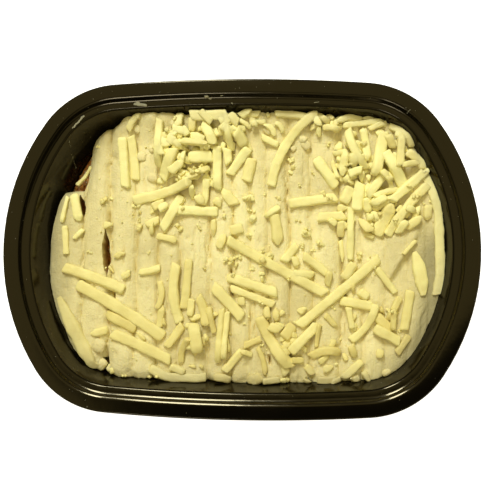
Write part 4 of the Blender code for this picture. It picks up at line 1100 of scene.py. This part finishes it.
class Pile:
    """The height of everything laid so far, on a grid of small square cells."""

    def __init__(self):
        self.x0, self.y0 = PILE_CORNER
        self.xs = np.arange(self.x0, -self.x0 + PILE_CELL, PILE_CELL)
        self.ys = np.arange(self.y0, -self.y0 + PILE_CELL, PILE_CELL)
        gx, gy = np.meshgrid(self.xs, self.ys, indexing="ij")
        self.z = mash_top(gx, gy)

    def height(self, x, y):
        i = int(min(max(round((x - self.x0) / PILE_CELL), 0), len(self.xs) - 1))
        j = int(min(max(round((y - self.y0) / PILE_CELL), 0), len(self.ys) - 1))
        return float(self.z[i, j])

    def lay(self, line, top, width):
        """Raises the cells under one strip to its top."""
        for (x0, y0), (x1, y1), z0, z1 in zip(line[:-1], line[1:], top[:-1], top[1:]):
            spread = width / 2 + PILE_CELL
            i0, i1 = np.searchsorted(self.xs, (min(x0, x1) - spread, max(x0, x1) + spread))
            j0, j1 = np.searchsorted(self.ys, (min(y0, y1) - spread, max(y0, y1) + spread))
            gx, gy = np.meshgrid(self.xs[i0:i1], self.ys[j0:j1], indexing="ij")
            along, beside = line_offset(gx, gy, x0, y0, x1, y1)
            under = (along > -0.05) & (along < 1.05) & (beside < width / 2)
            part = self.z[i0:i1, j0:j1]
            raised = np.maximum(part, z0 + (z1 - z0) * np.clip(along, 0, 1))
            self.z[i0:i1, j0:j1] = np.where(under, raised, part)


def strip_line(x0, y0, x1, y1, bow):
    """Places along one strip, on a shallow arc."""
    length = math.hypot(x1 - x0, y1 - y0)
    across = (-(y1 - y0) / length, (x1 - x0) / length)
    line = []
    for part in np.linspace(0, 1, STRIP_STATIONS):
        lift = 4 * part * (1 - part) * bow
        line.append((x0 + (x1 - x0) * part + across[0] * lift, y0 + (y1 - y0) * part + across[1] * lift))
    return line


def rest_on(pile, line, width):
    """The underside of a strip that lies on the pile and spans its hollows, a little stiff."""
    x0, y0 = line[0]
    x1, y1 = line[-1]
    length = math.hypot(x1 - x0, y1 - y0)
    side = (-(y1 - y0) / length * width * STRIP_TOUCH, (x1 - x0) / length * width * STRIP_TOUCH)
    z = []
    for x, y in line:
        touches = [pile.height(x + k * side[0], y + k * side[1]) for k in (-1, 0, 1)]
        z.append(0.5 * max(touches) + 0.5 * sum(touches) / 3)
    z = np.array(z)
    bend = STRIP_STIFFNESS * (length / (STRIP_STATIONS - 1)) ** 2 / 4
    for _ in range(SETTLING_STEPS):
        z[1:-1] = np.maximum(z[1:-1], (z[:-2] + z[2:]) / 2 - bend)
    return z


def keep_inside(piece, gap):
    """Presses what would stick through the tray's wall back onto its inner face."""
    place = places_of(piece)
    inner = inside_wall(*place.T, gap)
    on_wall = place[:, 2] < WALL_TOP_Z
    for axis in (0, 1):
        place[:, axis] = np.where(on_wall, inner[axis], place[:, axis])
    piece.data.vertices.foreach_set("co", (place * MM).ravel())
    piece.data.update()


def strips_tree():
    """Sweeps a soft-edged bar along each chain of points: flat, slanted at its ends and a little worn."""
    tree, given = new_tree("grated strips", [("Wear", "Float"), ("Corner", "Float")])
    path = add_step(tree, "GeometryNodeMeshToCurve", {"Mesh": given["Geometry"]})
    upright = add_step(tree, "GeometryNodeSetCurveNormal", {"Curve": path}, mode="Z_UP")
    roll = read_field(tree, "roll", "FLOAT")
    tilted = add_step(tree, "GeometryNodeSetCurveTilt", {"Curve": upright, "Tilt": roll})
    square = add_step(tree, "GeometryNodeCurvePrimitiveQuadrilateral", {"Width": 2.0, "Height": 2.0})
    rounding = {"Curve": square, "Count": 3, "Radius": given["Corner"], "Limit Radius": True}
    soft = add_step(tree, "GeometryNodeFilletCurve", rounding, mode="POLY")
    half_width = read_field(tree, "half_width", "FLOAT")
    bar = {"Curve": tilted, "Profile Curve": soft, "Scale": half_width, "Fill Caps": True}
    sweep = add_step(tree, "GeometryNodeCurveToMesh", bar)
    place = add_step(tree, "GeometryNodeInputPosition")
    centre = read_field(tree, "centre", "FLOAT_VECTOR")
    off = calculate(tree, "SUBTRACT", place, centre, kind="ShaderNodeVectorMath")
    thinner = {"X": 1.0, "Y": 1.0, "Z": read_field(tree, "flatness", "FLOAT")}
    flat = add_step(tree, "ShaderNodeCombineXYZ", thinner)
    pressed = calculate(tree, "MULTIPLY", off, flat, kind="ShaderNodeVectorMath")
    sideways = {0: off, 1: read_field(tree, "side", "FLOAT_VECTOR")}
    beside = add_node(tree, "ShaderNodeVectorMath", sideways, operation="DOT_PRODUCT").outputs["Value"]
    lean = {0: read_field(tree, "slant", "FLOAT_VECTOR"), "Scale": beside}
    sheared = add_step(tree, "ShaderNodeVectorMath", lean, operation="SCALE")
    moved = calculate(tree, "ADD", pressed, sheared, kind="ShaderNodeVectorMath")
    laid = calculate(tree, "ADD", moved, centre, kind="ShaderNodeVectorMath")
    worn = roughened(tree, place, 450.0, 3.0, given["Wear"])
    shaped = add_step(tree, "GeometryNodeSetPosition", {"Geometry": sweep, "Position": laid, "Offset": worn})
    return close_tree(tree, given, shaped)


STRIPS_TREE = strips_tree()
CHEESE_MATERIAL = food_material(
    "grated_cheese",
    ((0.78, 0.66, 0.245), (0.985, 0.90, 0.415)),
    # The first colour is painted shade by the tray's wall, and the second is the grey of dried specks.
    {"painted_edge_shade": (0.50, 0.44, 0.28), "dry": (0.20, 0.19, 0.15)},
    {"Patch Scale": 160.0, "Grain Scale": 1900.0, "Streak": (500.0, 500.0, 500.0)},
    {"smooth": 0.38, "rough": 0.55, "bump": 0.5, "depth": 0.0005, "glow": 0.15, "glow_depth": 0.001,
     "specular": 0.3},
)


def strip_ends(draw, part, length, width):
    """How wide a strip is towards its ends, and how they slant: pointed, cut across or blunt."""
    reach = np.minimum(part, 1 - part) * length
    shares = np.ones(len(part))
    slants = np.zeros(len(part))
    for here in (part < 0.5, part >= 0.5):
        kind = draw.uniform()
        taper = draw.uniform(*POINTED_REACH)
        if width > WIDE or (kind < POINTED_SHARE and length < LONG):
            tip = np.clip(reach / (length * 0.3 if width > WIDE else taper), 0, 1)
            shares = np.where(here, POINTED_TIP + (1 - POINTED_TIP) * tip**0.8, shares)
        elif kind < CUT_SHARE:
            lean = draw.uniform(-END_LEAN, END_LEAN)
            slants = np.where(here, lean * np.clip(1 - reach / (width * 0.8), 0, 1), slants)
            shares = np.where(here, CUT_TIP + (1 - CUT_TIP) * np.clip(reach / END_BEVEL, 0, 1) ** 0.6, shares)
        else:
            tip = np.clip(reach / END_BEVEL / 2, 0, 1) ** 0.6
            shares = np.where(here, BLUNT_TIP + (1 - BLUNT_TIP) * tip, shares)
    return shares, slants


def painted_wall_shade(x, y):
    """How much painted shade a strip gets by the tray's dark wall, most at the near side."""
    near_wall = np.clip(1.0 - (rim_distance(x, y)[0] - 11.0) / 9.0, 0, 1)
    return near_wall * (0.35 + 0.4 * np.clip(-y / 30, 0, 1))


def lay_strips(name, pile, strips, seed):
    """One piece of many strips, each laid on the pile in turn."""
    draw = np.random.default_rng(seed)
    points, edges = [], []
    fields = {label: [] for label in ("half_width", "flatness", "roll", "tone", "painted_edge_shade")}
    vectors = {label: [] for label in ("centre", "side", "slant")}
    for x0, y0, x1, y1, width, bow in strips:
        line = strip_line(x0, y0, x1, y1, bow)
        length = math.hypot(x1 - x0, y1 - y0)
        thickness = STRIP_THICKNESS * min(1.0, THIN_WHEN_NARROW[0] + THIN_WHEN_NARROW[1] * width)
        low = np.minimum(rest_on(pile, line, width) - STRIP_SINK, HIGHEST_CHEESE - thickness)
        pile.lay(line, low + thickness, width)
        part = np.linspace(0, 1, max(4, int(length / STATION_STEP)))
        part = np.sort(np.append(part, (END_BEVEL / length, 1 - END_BEVEL / length)))
        count = len(part)
        at = part * (STRIP_STATIONS - 1)
        xs = np.interp(at, range(STRIP_STATIONS), [x for x, _ in line])
        ys = np.interp(at, range(STRIP_STATIONS), [y for _, y in line])
        zs = np.interp(at, range(STRIP_STATIONS), low) + thickness / 2
        for _ in range(2):
            for values in (zs, xs, ys):
                values[1:-1] = (values[:-2] + 2 * values[1:-1] + values[2:]) / 4
        xs, ys = inside_wall(xs, ys, zs, MASH_GAP + width * 0.3)
        wave = 1 + WAVE[0] * soft_noise(part * length + draw.uniform(0, 90), 0 * part, WAVE[1], 9.0, 81)
        shares, slants = strip_ends(draw, part, length, width)
        dx, dy = np.gradient(xs), np.gradient(ys)
        step = np.maximum(np.hypot(dx, dy), 1e-9)
        dx, dy = dx / step, dy / step
        far = float(np.clip(ys.mean() / 30, -1, 1))
        # Painted light: strips on the far side are paler, those on the near side darker.
        tone = draw.uniform(0.45 if length > LONG else 0.2, 1) + PAINTED_LIGHT_FAR * far
        level = np.zeros(count)
        start = len(points)
        points += list(zip(xs, ys, zs))
        edges += [(start + k, start + k + 1) for k in range(count - 1)]
        fields["half_width"] += list(width / 2 * wave * shares * MM)
        fields["flatness"] += [thickness / width] * count
        fields["roll"] += list(draw.uniform(-ROLL, ROLL) + draw.uniform(-TWIST, TWIST) * (part - 0.5))
        fields["tone"] += [tone] * count
        # Painted shade by the tray's wall.
        fields["painted_edge_shade"] += list(painted_wall_shade(xs, ys))
        vectors["centre"] += list(np.column_stack([xs, ys, zs]) * MM)
        vectors["side"] += list(np.column_stack([-dy, dx, level]))
        vectors["slant"] += list(np.column_stack([dx * slants, dy * slants, level]))
    piece = new_object(name, points, edges)
    for label, values in fields.items():
        add_field(piece, label, values)
    for label, values in vectors.items():
        add_field(piece, label, values, "FLOAT_VECTOR")
    run_tree(piece, STRIPS_TREE, {"Wear": WEAR * MM, "Corner": CORNER_ROUND, "Material": CHEESE_MATERIAL})
    keep_inside(piece, MASH_GAP)
    piece.data.shade_smooth()
    piece.data.set_sharp_from_angle(angle=math.radians(60))
    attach(piece, "root")
    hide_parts("mash_topping")


PILE = Pile()


def in_tray(x, y):
    """A place in the tray of a place counted from the food's middle."""
    return x + CHEESE_SHIFT, y * NEAR_STRETCH if y < 0 else y


def build_cheese():
    """A loose bed of short bits where the cheese lies thick, the long strips, then the last short ones."""
    draw = np.random.default_rng(95)
    strips = []
    for x, y, reach_x, reach_y, count in HEAPS:
        for _ in range(count):
            cx, cy = x + reach_x * draw.uniform(-1, 1), y + reach_y * draw.uniform(-1, 1)
            turn = draw.uniform(0, math.pi)
            half = draw.uniform(*BIT_HALF_LENGTH)
            dx, dy = half * math.cos(turn), half * math.sin(turn)
            ends = (cx - dx, cy - dy, cx + dx, cy + dy)
            strips.append((*ends, draw.uniform(*BIT_WIDTH), draw.uniform(*BIT_BOW)))
    for x0, y0, x1, y1, width, bow in STRIPS:
        strips.append((*in_tray(x0, y0), *in_tray(x1, y1), width, bow))
    lay_strips("grated_cheese", PILE, strips + SHORT_PIECES, 91)


build_cheese()

# Cheese crumbs.
# Crumbs broke off the cheese as it was grated. The larger ones are knobbly, of two to four bits, and lie
# where the cheese fell thick. The rest is fine dust of cheese, strewn between the strips.
CRUMBS = 430
CRUMB_COLUMNS = (-70, 78)
CRUMB_ROWS = (-53, 54)
CRUMB_ROOM = 15.0
CRUMB_SIZE = (0.35, 1.1)
KNOBBLY = 1.2

# Crumbs that can be told apart, as (x, y, size across).
CRUMB_SPOTS = [
    (-57.4, 19.0, 2.2), (-54.4, 20.6, 1.5), (-43.0, 17.0, 2.2), (-41.5, 14.3, 2.0), (-42.3, 11.6, 1.3),
    (-41.0, 7.8, 3.2), (-23.6, 18.0, 1.8), (-24.4, 8.6, 2.2), (-35.6, 41.6, 1.8), (4.0, 20.0, 2.0),
    (4.4, 15.6, 1.6), (4.8, 12.0, 3.4), (5.0, 4.5, 2.8), (10.5, 22.0, 1.4), (21.2, 36.2, 1.8),
    (20.4, 32.8, 2.4), (27.0, 6.5, 2.2), (33.0, 1.5, 1.8), (25.6, 1.0, 1.6), (30.6, -0.6, 1.4),
    (12.2, -3.6, 3.4), (9.4, -1.2, 1.6), (5.6, -8.4, 1.6), (8.2, -11.4, 2.8), (5.8, -8.8, 1.4),
    (-5.0, -5.2, 2.0), (-3.2, -6.8, 2.4), (-1.4, -4.4, 2.0), (0.6, -4.0, 1.4), (49.2, -3.2, 2.0),
    (38.4, -24.2, 1.4), (-52.4, -51.2, 2.8), (-53.4, -52.6, 1.8), (-46.8, -53.0, 1.4),
    (-36.0, -54.4, 1.6), (-33.6, -54.8, 2.2), (18.8, -55.0, 2.4), (23.8, 11.0, 1.4), (36.4, 20.0, 1.6),
    (60.8, -25.6, 1.8), (-19.4, 31.6, 2.4), (-15.4, 33.0, 2.0), (-24.6, 29.0, 2.6), (-12.0, 29.0, 1.8),
    (58.0, 24.4, 1.6), (54.0, 9.6, 1.5), (56.4, 13.2, 2.2), (72.0, 20.6, 2.0), (69.0, 24.0, 1.6),
    (63.0, 10.4, 1.8), (44.4, 33.4, 1.8), (50.8, 42.0, 2.0), (36.6, 42.4, 1.6), (30.2, 31.4, 1.4),
    (16.0, 20.8, 1.3), (-6.4, 12.6, 1.6), (-2.8, -11.0, 1.3), (20.4, -12.8, 1.2), (2.0, -31.0, 1.2),
    (39.8, -46.6, 1.4), (-27.0, 52.6, 1.8), (-29.2, 47.0, 2.2), (24.6, 26.0, 1.2), (-62.0, -2.4, 1.2),
    (-36.8, -2.6, 1.2),
]


def build_crumbs():
    draw = np.random.default_rng(97)
    spots = list(CRUMB_SPOTS)
    for _ in range(CRUMBS):
        x, y = draw.uniform(*CRUMB_COLUMNS), draw.uniform(*CRUMB_ROWS)
        if rim_distance(x, y)[0] < CRUMB_ROOM or soft_noise(x, y, 11, 11, 98) < draw.uniform(-0.7, 0.9):
            continue
        if PILE.height(x, y) - float(mash_top(np.array(x), np.array(y))) > 0.4:
            continue
        spots.append((x, y, draw.uniform(*CRUMB_SIZE) ** 1.5 + 0.25))
    bits = []
    for x, y, size in spots:
        parts = 1 if size < KNOBBLY else int(draw.integers(2, 5))
        for _ in range(parts):
            bx = x + draw.normal(0, 0.33) * size * (parts > 1)
            by = y + draw.normal(0, 0.33) * size * (parts > 1)
            half = size * 0.5 * draw.uniform(0.55, 1.0, 3) * (1.0, 0.85, 0.7)
            turn = (draw.uniform(-0.5, 0.5), draw.uniform(-0.5, 0.5), draw.uniform(0, math.pi))
            z = PILE.height(bx, by) + 0.55 * half[2]
            bx, by = inside_wall(bx, by, z, MASH_GAP + 0.4 * size)
            z = PILE.height(bx, by) + 0.55 * half[2]
            bits.append((float(bx), float(by), z, turn, half, draw.uniform(0.2, 1.0)))
    crumbs = scatter("cheese_crumbs", bits, CHEESE_MATERIAL, 0.5, 0.17, 900.0)
    keep_inside(crumbs, MASH_GAP)
    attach(crumbs, "root")
    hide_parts("mash_topping")


build_crumbs()

# Mash lumps.
# Small lumps of the same mash, pushed up where the ribs end or dropped on them as they were laid.
# They are low and round, and have sunk into the bed a little.

# Lumps, as (x, y, radius).
LUMPS = [
    (-41.2, 38.0, 2.3), (-37.0, 41.2, 1.8), (-57.6, -41.0, 3.2), (11.9, 49.2, 2.6), (27.2, 42.6, 2.3),
    (26.0, 45.0, 1.8), (-36.6, 29.0, 2.4), (60.2, -50.4, 2.3), (22.2, 41.2, 1.6), (-53.0, -50.4, 1.6),
    (47.4, -52.6, 2.4), (-57.0, -48.6, 2.6), (-27.2, 51.4, 2.2), (-1.6, 46.4, 2.6), (-43.6, 50.0, 2.4),
    (36.6, 53.6, 2.0),
]
LUMP_HEIGHT = 0.45
LUMP_GOLDEN = 0.3


def build_mash_lumps():
    draw = np.random.default_rng(99)
    bits = []
    for x, y, radius in LUMPS:
        half = radius * np.array([draw.uniform(0.85, 1.05), draw.uniform(0.8, 1.05), LUMP_HEIGHT])
        z = float(mash_surface(np.array(x), np.array(y))) + 0.05 * radius
        turn = (0, 0, draw.uniform(0, 3))
        bits.append((x, y, min(z, HIGHEST_CHEESE - half[2]), turn, half, draw.uniform(0.3, 1.0)))
    lumps = scatter("mash_lumps", bits, MASH_MATERIAL, 0.2, 1.3, 380.0)
    # An even share of the painted crease shade's darker golden colour, as a tint on the lumps.
    add_field(lumps, "deep", [LUMP_GOLDEN] * len(lumps.data.vertices))
    keep_inside(lumps, MASH_GAP)
    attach(lumps, "root")
    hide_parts("mash_topping")


build_mash_lumps()

# Dried specks.
# Specks and smears of mash and cheese that splashed onto the tray as it was filled, and dried there.
# They are thin and greyish, and sit on the wall, the ledge and the flange.
SPECKS = 150
SPECK_HALF = (0.05, 0.13)
SPECK_STEPS = (40, 60, 40)
SPECK_INSETS = (13.0, 11.0)
SMEAR_STEP = 0.45
SMEAR_FLAT = 0.22
DRY_SHARE = 0.85

# Smears and flakes, as (x0, y0, x1, y1, width).
SMEARS = [
    (-64.5, 53.4, -69.2, 48.2, 1.0), (-71.0, 43.6, -71.4, 41.4, 0.6), (-71.8, 39.2, -72.2, 35.0, 0.7),
    (-43.2, 58.6, -38.6, 57.8, 2.0), (-13.9, 61.2, -11.9, 60.6, 2.0), (-7.4, 61.4, -6.9, 61.8, 1.2),
    (-3.2, 58.6, -2.6, 58.2, 0.8), (67.4, 53.6, 68.4, 54.8, 0.5), (30.4, 58.6, 32.4, 58.8, 0.5),
]


def tray_level(x, y):
    """The height of the tray's inner face at a place."""
    insets, heights = zip(*tray_profile())
    return float(np.interp(float(rim_distance(x, y)[0]), insets, heights))


def build_specks():
    draw = np.random.default_rng(101)
    bits = []
    for _ in range(SPECKS):
        rim = outline(SPECK_INSETS[0] - SPECK_INSETS[1] * draw.uniform(0, 1) ** 2, *SPECK_STEPS)
        x, y = rim[int(draw.integers(0, len(rim)))]
        half = draw.uniform(*SPECK_HALF) * np.array([1.0, draw.uniform(0.5, 1.0), 0.5])
        bits.append((x, y, tray_level(x, y) + 0.02, (0, 0, draw.uniform(0, 3)), half, draw.uniform(0, 1)))
    for x0, y0, x1, y1, width in SMEARS:
        length = math.hypot(x1 - x0, y1 - y0)
        turn = math.atan2(y1 - y0, x1 - x0)
        for part in np.arange(0, 1, SMEAR_STEP / length):
            x = x0 + (x1 - x0) * part + draw.normal(0, 0.08) * width
            y = y0 + (y1 - y0) * part + draw.normal(0, 0.08) * width
            half = width * 0.5 * draw.uniform(0.5, 1.0) * np.array([1.0, draw.uniform(0.6, 1.0), SMEAR_FLAT])
            bits.append((x, y, tray_level(x, y), (0, 0, turn), half, draw.uniform(0, 1)))
    specks = scatter("dried_specks", bits, CHEESE_MATERIAL, 0.4, 0.12, 2500.0)
    add_field(specks, "dry", [DRY_SHARE] * len(specks.data.vertices))
    keep_inside(specks, -SHEET / 4)
    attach(specks, "root")
    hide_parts("mash_topping")


build_specks()

# Studio.
# A white table, a tall soft window of light from the far left and a weak fill from the near side.
# The pale room is dark near the horizon, and in a patch just above the near side of the table.
TABLE_HALF = 3.0
TABLE_WHITE = (0.86, 0.86, 0.86, 1.0)
PLAIN_WHITE = (1.0, 1.0, 1.0, 1.0)
ROOM_COLOUR = (0.66, 0.575, 0.275, 1.0)
ROOM_DARK = (0.02, 0.017, 0.010, 1.0)
LOWEST_LOOK = 0.05
ROOM_STRENGTH = (0.25, 0.85, 0.08, 1.16)

# The edges of the dark patch, by how far a look leans along an axis: where it starts and where it is full.
DARK_EDGES = [("Y", 0.0, -0.06), ("Y", -0.55, -0.40), ("X", -0.42, -0.20), ("X", 0.75, 0.55)]


def add_light(name, turn, height, size, power, colour):
    """A lamp a metre off that faces the tray, at an angle left of the far side and above the table."""
    lamp = bpy.data.lights.new(name, "AREA")
    lamp.shape = "RECTANGLE"
    lamp.size, lamp.size_y = size
    lamp.energy = power
    lamp.color = colour
    light = bpy.data.objects.new(name, lamp)
    bpy.context.scene.collection.objects.link(light)
    turn, height = math.radians(turn), math.radians(height)
    flat = math.cos(height)
    place = Vector((-math.sin(turn) * flat, math.cos(turn) * flat, math.sin(height)))
    light.location = place
    light.rotation_euler = (-place).to_track_quat("-Z", "Y").to_euler()


def build_table():
    """A plain table that shines by itself, so that the ground under the tray is white."""
    reach = TABLE_HALF / MM
    corners = [(-reach, -reach, 0), (reach, -reach, 0), (reach, reach, 0), (-reach, reach, 0)]
    table = new_object("table", corners, faces=[(0, 1, 2, 3)])
    paint, tree, shader, _ = new_material("white_table")
    shine = {"Emission Color": PLAIN_WHITE, "Emission Strength": 1.0}
    set_inputs(tree, shader, {"Base Color": TABLE_WHITE, "Roughness": 0.9, **shine})
    table.data.materials.append(paint)


def build_room():
    """The room lights the tray, but behind the tray the eye meets plain white."""
    room = bpy.data.worlds.new("room")
    room.use_nodes = True
    bpy.context.scene.world = room
    tree = room.node_tree
    way = add_node(tree, "ShaderNodeTexCoord").outputs["Generated"]
    split = add_node(tree, "ShaderNodeSeparateXYZ", {"Vector": way}).outputs
    upward = calculate(tree, "MAXIMUM", split["Z"], LOWEST_LOOK)
    lean = {axis: calculate(tree, "DIVIDE", split[axis], upward) for axis in "XY"}
    dark = 1.0
    for axis, start, full in DARK_EDGES:
        edge = remap(tree, lean[axis], start, full, interpolation_type="SMOOTHSTEP")
        dark = calculate(tree, "MULTIPLY", dark, edge)
    seen = add_node(tree, "ShaderNodeLightPath").outputs["Is Camera Ray"]
    strength = calculate(tree, "MAXIMUM", remap(tree, split["Z"], *ROOM_STRENGTH), seen)
    colour = mixed(tree, seen, mixed(tree, dark, ROOM_COLOUR, ROOM_DARK), PLAIN_WHITE)
    set_inputs(tree, tree.nodes["Background"], {"Color": colour, "Strength": strength})


build_table()
add_light("window", turn=13.0, height=44.0, size=(0.16, 0.36), power=7.7, colour=(0.95, 0.985, 0.93))
add_light("near_fill", turn=160.0, height=55.0, size=(0.25, 0.12), power=1.15, colour=(1.0, 0.99, 0.97))
bpy.context.scene.view_settings.view_transform = "Standard"
build_room()
